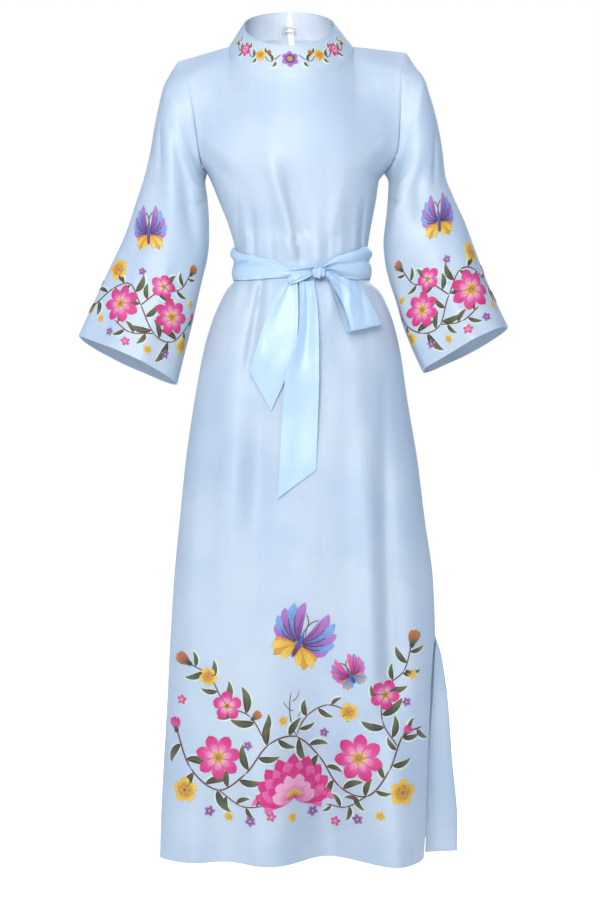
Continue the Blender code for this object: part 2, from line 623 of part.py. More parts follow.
def share_normals(pieces):
    """Points that pieces have in common get one direction, so that the end faces are parallel.

    The panels of the body are one side of an armhole or neck seam, the sleeve or collar the other.
    """
    sums = {}
    for name, piece in pieces.items():
        group = "body" if "panel" in name else name
        for point, normal in zip(piece["grid"].reshape(-1, 3), piece["normal"].reshape(-1, 3)):
            sides = sums.setdefault(tuple(np.round(point, 6)), {})
            sides[group] = sides.get(group, 0) + normal
    for piece in pieces.values():
        flat = piece["grid"].reshape(-1, 3)
        met = [sums[tuple(np.round(point, 6))] for point in flat]
        shared = np.array([sum(unit(side) for side in sides.values()) for sides in met])
        piece["normal"] = unit(shared).reshape(piece["grid"].shape)


def draw_in(line, normal, outward_turn, breaks):
    """Moves an edge line back into its cloth by half the seam gap; both its stretches move a corner."""
    moved = np.zeros(line.shape)
    stops = [0, *breaks, len(line) - 1]
    for first, last in zip(stops[:-1], stops[1:]):
        stretch = slice(first, last + 1)
        outward = outward_turn * unit(np.cross(np.gradient(line[stretch], axis=0), normal[stretch]))
        moved[stretch] -= outward * SEAM_GAP / 2
    return moved


def draw_in_edges(piece):
    """Moves every edge of a piece back by half the seam gap, square to the edge and in the cloth."""
    grid, normal = piece["grid"], piece["normal"]
    sign = -1 if piece["turned"] else 1
    moved = grid.copy()
    if piece["closed"]:
        for row, turn in ((0, sign), (-1, -sign)):
            line = np.concatenate([grid[row], grid[row, :1]])
            across = np.concatenate([normal[row], normal[row, :1]])
            shift = draw_in(line, across, turn, [len(grid[row]) // 2])
            moved[row] += shift[:-1]
            moved[row, 0] += shift[-1]
    else:
        moved[0] += draw_in(grid[0], normal[0], sign, piece["row_breaks"][0])
        moved[-1] += draw_in(grid[-1], normal[-1], -sign, piece["row_breaks"][1])
        moved[:, 0] += draw_in(grid[:, 0], normal[:, 0], -sign, piece["side_breaks"][0])
        moved[:, -1] += draw_in(grid[:, -1], normal[:, -1], sign, piece["side_breaks"][1])
    piece["outer"] = moved


def finish(name, colour, roughness_and_sheen):
    """A cloth finish."""
    roughness, sheen = roughness_and_sheen
    material = bpy.data.materials.new(name)
    material.use_nodes = True
    shader = material.node_tree.nodes["Principled BSDF"]
    shader.inputs["Base Color"].default_value = (*colour, 1)
    shader.inputs["Roughness"].default_value = roughness
    shader.inputs["Metallic"].default_value = 0.0
    shader.inputs["Sheen Weight"].default_value = sheen
    return material


def add_wall(name, outer, normal, closed, turned, wall, material):
    """A closed wall: the outer grid, an inner grid a wall's thickness inside it, and the rims.

    Both grids are cut into triangles along the same diagonals, so that they never cross.
    """
    rows, columns = outer.shape[:2]
    inner = outer - normal * wall
    points = np.concatenate([outer.reshape(-1, 3), inner.reshape(-1, 3)])
    number = np.arange(rows * columns).reshape(rows, columns)
    if closed:
        number = np.concatenate([number, number[:, :1]], axis=1)
    a, b, c, d = number[:-1, :-1], number[:-1, 1:], number[1:, 1:], number[1:, :-1]
    cells = np.concatenate([np.stack([a, b, c], -1), np.stack([a, c, d], -1)]).reshape(-1, 3)
    inside = rows * columns
    rims = [(number[0, :-1], number[0, 1:]), (number[-1, 1:], number[-1, :-1])]
    if not closed:
        rims += [(number[1:, 0], number[:-1, 0]), (number[:-1, -1], number[1:, -1])]
    faces = [cells, cells[:, ::-1] + inside]
    for first, second in rims:
        ahead = (points[first] @ SEAM_ORDER > points[second] @ SEAM_ORDER)[:, None]
        inner_first, inner_second = first + inside, second + inside
        near = np.where(ahead, inner_second[:, None], inner_first[:, None])
        faces.append(np.concatenate([np.stack([second, first], -1), near], -1))
        far = np.stack([second, inner_first, inner_second], -1)
        far_ahead = np.stack([first, inner_first, inner_second], -1)
        faces.append(np.where(ahead, far_ahead, far))
    faces = np.concatenate(faces)
    if turned:
        faces = faces[:, ::-1]
    mesh = bpy.data.meshes.new(name)
    mesh.from_pydata(points.tolist(), [], faces.tolist())
    mesh.materials.append(material)
    mesh.shade_smooth()
    bpy.context.scene.collection.objects.link(bpy.data.objects.new(name, mesh))


def on_cloth(piece, column, z, out):
    """A point of a body panel at a column and a height, moved out of the cloth."""
    levels = piece["outer"][: len(BODY_ROWS), 0, 2]
    row = np.interp(z, BODY_ROWS, np.arange(len(levels)))
    r = np.minimum(np.floor(row).astype(int), len(levels) - 2)
    c = np.minimum(np.floor(column).astype(int), piece["outer"].shape[1] - 2)
    u, v = (row - r)[..., None], (column - c)[..., None]

    def blend(grid):
        low = grid[r, c] * (1 - v) + grid[r, c + 1] * v
        high = grid[r + 1, c] * (1 - v) + grid[r + 1, c + 1] * v
        return low * (1 - u) + high * u

    direction = unit(blend(piece["normal"]))
    return blend(piece["outer"]) + direction * np.asarray(out)[..., None], direction


def front_column(piece, x, z):
    """The column of the front panel that lies at x at the height z."""
    x, z = np.broadcast_arrays(x, z)
    found = np.empty(x.shape)
    for place in np.ndindex(x.shape):
        row = np.interp(z[place], BODY_ROWS, np.arange(len(BODY_ROWS)))
        r = min(int(row), len(BODY_ROWS) - 2)
        line = piece["outer"][r, :, 0] * (1 - row + r) + piece["outer"][r + 1, :, 0] * (row - r)
        found[place] = np.interp(x[place], line, np.arange(len(line)))
    return found


def sash_band(front, back_right, back_left):
    """The band round the waist, from behind the knot round the back and behind the knot again."""
    shares = SASH_SECTION["share"]
    out = SASH_SECTION["out"]
    last = front["outer"].shape[1] - 1
    middle_z = (SASH_TOP_Z + SASH_BOTTOM_Z) / 2
    left_end, right_end = (front_column(front, x, middle_z) for x in SASH_ENDS)
    from_right = np.arange(np.ceil(right_end + SASH_END_STEP), last)
    to_left = np.arange(1, np.floor(left_end - SASH_END_STEP) + 1)
    stations = [(front, c) for c in np.append(right_end, from_right)]
    stations += [(back_right, c) for c in range(back_right["outer"].shape[1])]
    stations += [(back_left, c) for c in range(1, back_left["outer"].shape[1])]
    stations += [(front, c) for c in np.append(to_left, left_end)]
    columns, directions = [], []
    for piece, column in stations:
        column = np.full(shares.shape, float(column))
        if piece is front:
            x = on_cloth(front, column[:1], np.array([middle_z]), np.zeros(1))[0][0, 0]
            top, bottom = read(SASH_EDGE, "top", x), read(SASH_EDGE, "bottom", x)
        else:
            top, bottom = SASH_TOP_Z, SASH_BOTTOM_Z
        point, direction = on_cloth(piece, column, bottom + (top - bottom) * shares, out)
        columns.append(point)
        directions.append(direction)
    return np.stack(columns, 1), np.stack(directions, 1)


def strip_between(edges, shares, across):
    """Points between the two edges that a table gives: rows follow the shares."""
    left_x, left_z = read(edges, "left_x", shares), read(edges, "left_z", shares)
    right_x, right_z = read(edges, "right_x", shares), read(edges, "right_z", shares)
    x = left_x[:, None] + (right_x - left_x)[:, None] * across[None, :]
    z = left_z[:, None] + (right_z - left_z)[:, None] * across[None, :]
    return x, z


def tail(front, edges, rows):
    """A tail of the sash: a strip that hangs in front of the skirt, gathered at the knot."""
    shares = np.linspace(1, 0, rows + 1) ** TAIL_CROWDING
    across = np.arange(TAIL_CELLS + 1) / TAIL_CELLS
    x, z = strip_between(edges, shares, across)
    skirt = on_cloth(front, front_column(front, x, z), z, np.zeros(x.shape))[0][..., 1]
    ahead = read(edges, "ahead", shares)[:, None]
    fold = read(edges, "fold", shares)[:, None] * np.cos(2 * np.pi * across)[None, :]
    level = (skirt + skirt.min(axis=1, keepdims=True)) / 2
    y = np.minimum(level - ahead - fold, skirt - TAIL_LEAST_AHEAD)
    return np.stack([x, y, z], -1)


def bow_loop(front):
    """The bow's loop: the strip runs down the front, turns round its fold and goes back up behind."""
    down = np.arange(LOOP_CELLS) / LOOP_CELLS
    turn = np.pi * np.arange(LOOP_FOLD_CELLS + 1) / LOOP_FOLD_CELLS
    straight = 1 - LOOP_FOLD_SHARE
    round_it = straight + LOOP_FOLD_SHARE * np.sin(turn)
    shares = np.concatenate([down * straight, round_it, down[::-1] * straight])
    swell = LOOP_SWELL_START + (1 - LOOP_SWELL_START) * ease(down / LOOP_SWELL_OVER)
    side = np.concatenate([swell, np.cos(turn), -swell[::-1]])
    across = np.arange(LOOP_ACROSS_CELLS + 1) / LOOP_ACROSS_CELLS
    x, z = strip_between(LOOP, shares, across)
    shift = LOOP_BACK_SHIFT * (1 - side) / 2 * ease(shares / LOOP_BACK_SHIFT_OVER)
    x = x - shift[:, None] * (1 - across[None, :])
    skirt = on_cloth(front, front_column(front, x, z), z, np.zeros(x.shape))[0][..., 1]
    y = skirt - LOOP_AHEAD - (side * LOOP_HALF_SPACE)[:, None]
    return np.stack([x, y, z], -1)


def rounded_block(front, ends, half_height, half_depth, back_ahead, rings, sides):
    """A squarish roll between two points of the front, its back face a stated way ahead of it."""
    (start_x, start_z), (end_x, end_z) = ends
    slide = (1 - np.cos(np.pi * np.arange(rings + 1) / rings)) / 2
    x = start_x + (end_x - start_x) * slide
    z = start_z + (end_z - start_z) * slide
    heights = half_height[0] + (half_height[1] - half_height[0]) * slide
    under = z[:, None] + heights[:, None] * np.array([-1, 0, 1])[None, :]
    column = front_column(front, x[:, None], under)
    seat = on_cloth(front, column, under, np.zeros(under.shape))[0][..., 1].min(axis=1)
    depths = half_depth[0] + (half_depth[1] - half_depth[0]) * slide
    y = seat - back_ahead - depths
    swell = power(np.sin(np.pi * np.arange(rings + 1) / rings), BLOCK_SQUARE)
    turn = 2 * np.pi * np.arange(sides) / sides
    along = unit(np.array([end_x - start_x, 0, end_z - start_z]))
    up = np.array([-along[2], 0, along[0]])
    points = [np.array([x[0], y[0], z[0]])]
    for k in range(1, rings):
        middle = np.array([x[k], y[k], z[k]])
        for spin in turn:
            rise = heights[k] * swell[k] * power(np.sin(spin), BLOCK_SQUARE)
            deep = depths[k] * swell[k] * power(np.cos(spin), BLOCK_SQUARE)
            points.append(middle + up * rise + np.array([0, deep, 0]))
    points.append(np.array([x[-1], y[-1], z[-1]]))
    last = len(points) - 1
    faces = []
    for k in range(sides):
        n = (k + 1) % sides
        faces.append((0, 1 + n, 1 + k))
        for r in range(rings - 2):
            a, b = 1 + r * sides, 1 + (r + 1) * sides
            faces += [(a + k, a + n, b + n), (a + k, b + n, b + k)]
        faces.append((last, last - sides + k, last - sides + n))
    return points, faces


def facing(panel, band, side):
    """The turned band inside one edge of the back slit, up the panel and on up the collar."""
    share = np.array(FACING_COLUMNS)[None, :, None]
    first_row = len(BODY_ROWS) - 1 + FACING_FIRST_ROW
    stretches = []
    for piece, first in ((panel, first_row), (band, 1)):
        edge, beside = (-1, -2) if side > 0 else (0, 1)
        across = []
        for grid in (piece["outer"][first:], piece["normal"][first:]):
            across.append(grid[:, edge, None] * (1 - share) + grid[:, beside, None] * share)
        stretches.append(across)
    points = np.concatenate([point for point, direction in stretches])
    directions = unit(np.concatenate([direction for point, direction in stretches]))
    points = points - directions * (COLLAR_WALL + FACING_CLEARANCE)
    return (points[:, ::-1], directions[:, ::-1]) if side > 0 else (points, directions)


def add_block(name, points, faces, material):
    """A closed block from its points and faces."""
    mesh = bpy.data.meshes.new(name)
    mesh.from_pydata([tuple(p) for p in points], [], faces)
    mesh.materials.append(material)
    mesh.shade_smooth()
    bpy.context.scene.collection.objects.link(bpy.data.objects.new(name, mesh))


def add_strip(name, outer, turned, wall, material):
    """A free strip of cloth as a closed wall."""
    add_wall(name, outer, normals_of(outer, False, turned), False, turned, wall, material)


def main():
    for old in list(bpy.data.objects):
        bpy.data.objects.remove(old, do_unlink=True)
    front_cells = NECK_CELLS + SHOULDER_CELLS
    across = np.arange(-front_cells, front_cells + 1) / front_cells
    front_grid = face_grid(across, "front", NECK_CELLS / front_cells)
    armpit = len(BODY_ROWS) - 1
    neck_ends = [SHOULDER_CELLS, SHOULDER_CELLS + 2 * NECK_CELLS]
    collar_ends = [BACK_NECK_CELLS, BACK_NECK_CELLS + 2 * NECK_CELLS]
    panels = {
        "front_panel": (front_grid, ([], neck_ends), ([armpit], [armpit])),
        "back_panel_right": (back_half(1), ([], [SHOULDER_CELLS]), ([armpit], [])),
        "back_panel_left": (back_half(-1), ([], [BACK_NECK_CELLS]), ([], [armpit])),
        "collar": (collar(), (collar_ends, []), ([], [])),
    }
    pieces = {}
    for name, (grid, row_breaks, side_breaks) in panels.items():
        breaks = {"row_breaks": row_breaks, "side_breaks": side_breaks}
        pieces[name] = {"grid": grid, "closed": False, "turned": False, **breaks}
    for name, side in (("sleeve_right", 1), ("sleeve_left", -1)):
        pieces[name] = {"grid": sleeve(side), "closed": True, "turned": side > 0}
    for piece in pieces.values():
        piece["normal"] = normals_of(piece["grid"], piece["closed"], piece["turned"])
    share_normals(pieces)
    for name, piece in pieces.items():
        draw_in_edges(piece)
        material = finish(name + "_cloth", DRESS_COLOUR, DRESS_FINISH)
        wall = COLLAR_WALL if name == "collar" else CLOTH_WALL
        add_wall(name, piece["outer"], piece["normal"], piece["closed"], piece["turned"], wall, material)

    def sash_cloth(name):
        return finish(name + "_cloth", SASH_COLOUR, SASH_FINISH)

    front = pieces["front_panel"]
    band, out = sash_band(front, pieces["back_panel_right"], pieces["back_panel_left"])
    add_wall("sash_band", band, out, False, False, CLOTH_WALL, sash_cloth("sash_band"))
    for side, edges in (("left", TAIL_LEFT), ("right", TAIL_RIGHT)):
        name = "tail_" + side
        add_strip(name, tail(front, edges, TAIL_ROWS[side]), False, CLOTH_WALL, sash_cloth(name))
    add_strip("bow_loop", bow_loop(front), True, CLOTH_WALL, sash_cloth("bow_loop"))
    knot_heights = (KNOT_HALF_HEIGHT, KNOT_HALF_HEIGHT)
    knot_depths = (KNOT_HALF_DEPTH, KNOT_HALF_DEPTH)
    knot = (KNOT_ENDS, knot_heights, knot_depths, KNOT_BACK_AHEAD, KNOT_RINGS)
    wrap = (WRAP_ENDS, WRAP_HALF_HEIGHT, WRAP_HALF_DEPTH, WRAP_BACK_AHEAD, WRAP_RINGS)
    for name, block in (("sash_knot", knot), ("sash_wrap", wrap)):
        add_block(name, *rounded_block(front, *block, BLOCK_SIDES), sash_cloth(name))
    for side, name in ((1, "right"), (-1, "left")):
        points, directions = facing(pieces["back_panel_" + name], pieces["collar"], side)
        name = "slit_facing_" + name
        material = finish(name + "_cloth", DRESS_COLOUR, DRESS_FINISH)
        add_wall(name, points, directions, False, False, FACING_WALL, material)


main()
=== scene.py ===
"""Looks of a long tunic dress: stand collar, bell sleeves, side slits, embroidery and a sash in a half bow.

Metres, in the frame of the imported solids: +Z up, the front faces -Y, the origin is the middle of the
neck base. The cloth's form comes from the same tables and formulas as the solids', on finer grids and
with the smaller folds added. Every piece rides on the one body, "root".
"""

import bpy
import numpy as np
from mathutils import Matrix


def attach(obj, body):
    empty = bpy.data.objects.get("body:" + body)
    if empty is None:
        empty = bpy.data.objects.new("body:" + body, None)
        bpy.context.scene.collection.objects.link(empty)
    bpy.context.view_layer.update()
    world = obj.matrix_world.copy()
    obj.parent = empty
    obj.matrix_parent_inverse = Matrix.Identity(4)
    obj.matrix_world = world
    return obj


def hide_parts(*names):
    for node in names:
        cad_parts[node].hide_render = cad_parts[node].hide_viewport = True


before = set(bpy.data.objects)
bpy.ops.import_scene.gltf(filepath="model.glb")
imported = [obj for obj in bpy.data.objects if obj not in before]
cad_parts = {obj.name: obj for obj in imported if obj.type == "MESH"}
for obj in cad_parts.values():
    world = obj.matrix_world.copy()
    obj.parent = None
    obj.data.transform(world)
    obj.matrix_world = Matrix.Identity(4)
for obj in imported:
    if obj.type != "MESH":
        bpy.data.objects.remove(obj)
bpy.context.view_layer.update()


def table(names, text):
    """One array for each named column; each line of the text is a row, and # starts a remark."""
    rows = [line.split("#")[0].split() for line in text.splitlines()]
    return dict(zip(names.split(), np.array([row for row in rows if row], float).T))


# Walls
CLOTH_WALL = 0.0015
COLLAR_WALL = 0.0018

# The armpit's height, and how a face goes up from there: out and up at its start, and back over the
# shoulder at its end, in the middle and (by the second number) more or less at the shoulder seam
ARMPIT_Z = -0.198
HEM_Z = -1.280
LEAVE_OUT = 0.026
LEAVE_UP = 1.15
REACH_BACK = (0.030, 0.120)
REACH_UP = (0.125, -0.060)
SHOULDER_FROM = 0.55
SHOULDER_OVER = 0.75
ARMHOLE_HOLD = 3

# The corners of the top edge fade out below it: a line lower down follows the edge's average over
# this share of the face at the armpit, and over less and less of it further up
CORNER_FADE = 0.34
CORNER_SAMPLES = 9

# Folds die out towards the side seams by this power of the place across the face
FOLD_HOLD = 8

# Slow waves of worn cloth: radians for each metre across and up, where each starts, and its share
WAVES = ((33, 47, 0.4, 1), (-61, 36, 1.9, 1), (94, -22, 0.7, 0.6), (25, 101, 3.1, 0.5))
WAVE_HEIGHT = 0.0006

# Neck: the base ellipse lies in a plane that drops to the front, and the collar leans inwards
NECK_HALF_WIDTH = 0.0992
NECK_SIDE_Z = 0.0056
NECK_FRONT = (-0.085, -0.049)
NECK_BACK = (0.072, 0.030)
COLLAR_TOP_HALF_WIDTH = 0.0725
COLLAR_TOP_MIDDLE_X = -0.003
COLLAR_TOP_SIDE_Z = 0.0416
COLLAR_TOP_FRONT = (-0.075, -0.008)
COLLAR_TOP_BACK = (0.062, 0.074)
COLLAR_BOW = 0.10

# The slit at the back of the neck: half its width, and its share of the way up from the armpit
SLIT_HALF_WIDTH = 0.0048
BACK_SLIT_SHARE = 0.42

FRONT = table(
    "z left right left_y right_y depth square",
    """
    -1.28 -.207 .21 -.034 -.034 .115 2.7
    -1.232 -.206 .213 -.03 -.032 .115 2.7
    -1.136 -.202 .217 -.02 -.028 .114 2.6
    -1.04 -.197 .221 -.01 -.022 .113 2.5
    -.966 -.194 .226 -.003 -.012 .112 2.4
    -.93 -.192 .23 0 0 .112 2.4
    -.848 -.187 .227 0 0 .113 2.3
    -.752 -.178 .214 0 0 .115 2.3
    -.656 -.168 .202 0 0 .117 2.2
    -.56 -.154 .186 0 0 .118 2.2
    -.48 -.139 .174 0 0 .115 2.2
    -.432 -.125 .162 0 0 .11 2.2
    -.4 -.111 .149 0 0 .104 2.2
    -.384 -.102 .14 0 0 .099 2.2
    -.368 -.09 .124 0 0 .091 2.2
    -.342 -.089 .123 0 0 .091 2.2
    -.316 -.09 .123 0 0 .0925 2.2
    -.3 -.094 .125 0 0 .0948 2.2
    -.272 -.103 .13 0 0 .1 2.3
    -.24 -.116 .136 0 0 .1085 2.4
    -.208 -.129 .141 0 0 .118 2.4
    -.198 -.134 .149 0 0 .12 2.4
    """,
)

BACK = table(
    "z left right depth square wrap_left wrap_right",
    """
    -1.28 -.203 .266 .15 2.5 4 43
    -1.232 -.202 .266 .149 2.5 4 42
    -1.136 -.199 .258 .146 2.4 3 37
    -1.04 -.195 .251 .143 2.4 2 30
    -.966 -.193 .24 .14 2.3 0 19
    -.93 -.192 .23 .139 2.3 0 0
    -.848 -.187 .227 .136 2.3 0 0
    -.752 -.178 .214 .132 2.3 0 0
    -.656 -.168 .202 .13 2.2 0 0
    -.56 -.154 .186 .128 2.2 0 0
    -.48 -.139 .174 .12 2.2 0 0
    -.432 -.125 .162 .108 2.2 0 0
    -.4 -.111 .149 .096 2.2 0 0
    -.384 -.102 .14 .088 2.2 0 0
    -.368 -.09 .124 .078 2.2 0 0
    -.342 -.089 .123 .077 2.2 0 0
    -.316 -.09 .123 .078 2.2 0 0
    -.3 -.094 .125 .0808 2.2 0 0
    -.272 -.103 .13 .0858 2.3 0 0
    -.24 -.116 .136 .0925 2.4 0 0
    -.208 -.129 .141 .099 2.4 0 0
    -.198 -.134 .149 .1 2.4 0 0
    """,
)
WRAP_DEPTH = 0.022  # how far the back's free edges reach in front of the side line

# Armholes, from the armpit (share 0) up to the shoulder tip (share 1)
ARMHOLE_RIGHT = table(
    "share x z front_y back_y",
    """
    0 .149 -.198 0 0
    .12 .159 -.188 -.026 .024
    .3 .17 -.16 -.046 .046
    .55 .173 -.108 -.05 .056
    .8 .176 -.05 -.037 .044
    1 .184 -.004 0 0
    """,
)
ARMHOLE_LEFT = table(
    "share x z front_y back_y",
    """
    0 -.134 -.198 0 0
    .12 -.141 -.188 -.026 .024
    .3 -.147 -.16 -.046 .046
    .55 -.154 -.108 -.05 .056
    .8 -.166 -.058 -.037 .044
    1 -.181 -.018 0 0
    """,
)

# Sleeve rings below the armhole: the outer and inner ends of each ring, its depth to the front and
# the back, how much higher its front lies, and how far its middle bows away from the body
SLEEVE_RIGHT = table(
    "ring outer_x outer_z inner_x inner_z front back rise bow",
    """
    1 .206 -.038 .156 -.212 .055 .06 0 .011
    2 .222 -.077 .155 -.236 .058 .062 0 .008
    3 .234 -.118 .153 -.261 .06 .061 .001 .004
    4 .242 -.16 .15 -.285 .06 .059 .002 0
    5 .247 -.202 .148 -.309 .06 .056 .003 0
    6 .259 -.234 .15 -.336 .06 .054 .004 0
    7 .277 -.274 .157 -.368 .061 .054 .005 0
    8 .294 -.32 .168 -.402 .062 .055 .006 0
    9 .312 -.368 .179 -.44 .063 .057 .007 0
    10 .331 -.411 .194 -.478 .065 .06 .008 0
    11 .347 -.445 .211 -.515 .067 .062 .009 0
    """,
)
SLEEVE_LEFT = table(
    "ring outer_x outer_z inner_x inner_z front back rise bow",
    """
    1 -.201 -.054 -.137 -.212 .055 .06 0 -.003
    2 -.211 -.09 -.134 -.234 .058 .062 0 -.002
    3 -.219 -.128 -.132 -.256 .06 .061 .001 0
    4 -.225 -.164 -.131 -.28 .06 .059 .002 0
    5 -.234 -.202 -.131 -.306 .06 .056 .003 0
    6 -.248 -.246 -.134 -.333 .06 .054 .004 0
    7 -.264 -.294 -.141 -.363 .061 .054 .005 0
    8 -.283 -.339 -.149 -.397 .062 .055 .006 0
    9 -.301 -.381 -.158 -.438 .063 .057 .007 0
    10 -.32 -.424 -.17 -.485 .065 .06 .008 0
    11 -.336 -.462 -.182 -.534 .067 .062 .009 0
    """,
)

# Folds of the front, from their top to their foot: a height above 0 is a ridge, below 0 a trough
FOLD_COLUMNS = "top_x top_z foot_x foot_z top_width foot_width top_height foot_height fade_in fade_out"
FRONT_FOLDS = table(
    FOLD_COLUMNS,
    """
    # from the bust to the knot
    -.038 -.165 .008 -.318 .016 .011 .005 .01 .4 .12
    -.006 -.185 .022 -.312 .01 .009 -.004 -.008 .4 .12
    .088 -.2 .062 -.312 .014 .01 .002 .005 .4 .15
    -.08 -.2 -.06 -.312 .012 .01 -.002 -.005 .5 .15
    # the cloth that the sash pushes up above the knot
    -.006 -.3 -.002 -.345 .026 .018 .008 .004 .5 .55
    # below the sash, left
    -.044 -.372 -.068 -.54 .01 .016 -.005 -.008 .2 .5
    -.088 -.42 -.112 -.86 .02 .036 .005 .01 .3 .5
    -.05 -.52 -.052 -.8 .018 .028 -.004 -.01 .3 .5
    # the long ridge and trough down the right side
    .1 -.39 .132 -1.09 .02 .03 .005 .017 .3 .25
    .132 -.52 .16 -1.11 .014 .02 -.006 -.018 .4 .25
    # hem waves
    -.046 -.88 -.041 -1.28 .045 .05 .002 .018 .6 0
    -.108 -1 -.105 -1.28 .03 .03 -.002 -.02 .6 0
    .04 -.86 .058 -1.28 .05 .048 -.004 -.068 .7 0
    .16 -1 .166 -1.28 .03 .046 .004 .044 .6 0
    # smaller folds that only this finer cloth has: the drape's crest and its sharp valley
    -.041 -.165 .003 -.348 .012 .008 .0026 .005 .4 .06
    -.013 -.19 .0165 -.352 .008 .0034 -.0026 -.0072 .4 .04
    # pleats into the sash
    -.084 -.218 -.083 -.33 .0046 .0038 -.0018 -.0046 .5 .06
    -.072 -.228 -.07 -.336 .0044 .0036 .0014 .0034 .5 .06
    -.06 -.235 -.057 -.34 .0048 .0038 -.0016 -.0044 .5 .06
    -.034 -.255 -.028 -.345 .006 .0044 -.0012 -.003 .5 .06
    .04 -.235 .044 -.35 .008 .005 .0012 .0032 .5 .06
    .058 -.262 .058 -.342 .005 .004 -.001 -.0026 .5 .06
    .082 -.25 .078 -.336 .007 .0048 .0012 .0028 .5 .06
    .117 -.222 .11 -.326 .0046 .0038 -.0026 -.0058 .5 .06
    .104 -.235 .1 -.328 .005 .004 .0014 .0028 .5 .06
    # creases out from the armholes
    -.142 -.146 -.06 -.222 .008 .014 .004 .0014 .25 .6
    -.142 -.168 -.066 -.246 .007 .012 -.0038 -.0014 .25 .6
    .158 -.146 .1 -.204 .008 .014 .0038 .0014 .25 .6
    .156 -.168 .108 -.232 .007 .012 -.0038 -.0014 .25 .6
    # soft drags from the collar over the chest
    -.08 -.03 -.07 -.15 .016 .024 .0012 .0016 .4 .5
    .09 -.03 .078 -.15 .016 .024 .0012 .0016 .4 .5
    0 -.12 .004 -.18 .03 .04 -.001 -.0014 .5 .5
    # the sharp fold beside the left tail, and gathers below the sash
    -.043 -.366 -.073 -.56 .004 .009 -.0048 -.006 .1 .5
    -.034 -.366 -.052 -.5 .006 .009 .0034 .003 .1 .6
    -.066 -.366 -.072 -.425 .0036 .0055 -.0028 -.0012 .1 .6
    -.08 -.366 -.09 -.45 .0042 .0075 .0028 .0014 .1 .6
    -.055 -.366 -.063 -.45 .004 .007 .0024 .0012 .1 .6
    .062 -.366 .066 -.47 .005 .009 .0032 .0018 .1 .6
    .076 -.366 .084 -.45 .004 .0075 -.0028 -.0014 .1 .6
    .088 -.366 .098 -.48 .0045 .008 .0026 .0014 .1 .6
    .106 -.366 .124 -.52 .0045 .009 -.0032 -.002 .1 .6
    .004 -.366 .006 -.45 .006 .009 -.003 -.0016 .1 .6
    # long creases of the skirt
    -.088 -.5 -.084 -.88 .0149 .023 .0026 .0059 .3 .5
    -.04 -.5 -.064 -.94 .0149 .023 -.0034 -.0068 .3 .5
    .064 -.44 .066 -.74 .0189 .0257 .0034 .0043 .3 .5
    .02 -.58 .024 -1.02 .0351 .0459 .0026 .0068 .3 .5
    .094 -.56 .1 -1 .0149 .023 -.0026 -.0051 .4 .5
    .131 -.45 .135 -1.08 .0108 .0149 .0026 .0051 .3 .3
    .145 -.47 .15 -1.08 .0101 .0135 -.0034 -.0076 .3 .3
    -.118 -.52 -.134 -.98 .0135 .0216 -.0022 -.0051 .4 .4
    -.15 -.64 -.164 -1.05 .0121 .0175 .002 .0043 .4 .4
    .188 -.7 .194 -1.14 .0149 .0203 .0026 .0059 .4 .3
    # the puckered place beside the embroidery
    .094 -1.026 .136 -1.052 .0068 .0068 .0031 .0026 .4 .4
    .096 -1.044 .14 -1.076 .0068 .0068 -.0029 -.0026 .4 .4
    # small waves of the hem
    -.079 -1.08 -.078 -1.28 .0149 .0203 -.0026 -.0093 .5 0
    0 -1.09 -.004 -1.28 .0216 .0324 .0008 .0059 .5 0
    -.152 -1.08 -.16 -1.28 .0216 .0297 .0008 .0068 .5 0
    .118 -1.12 .118 -1.28 .0216 .0297 -.0008 -.0068 .5 0
    """,
)
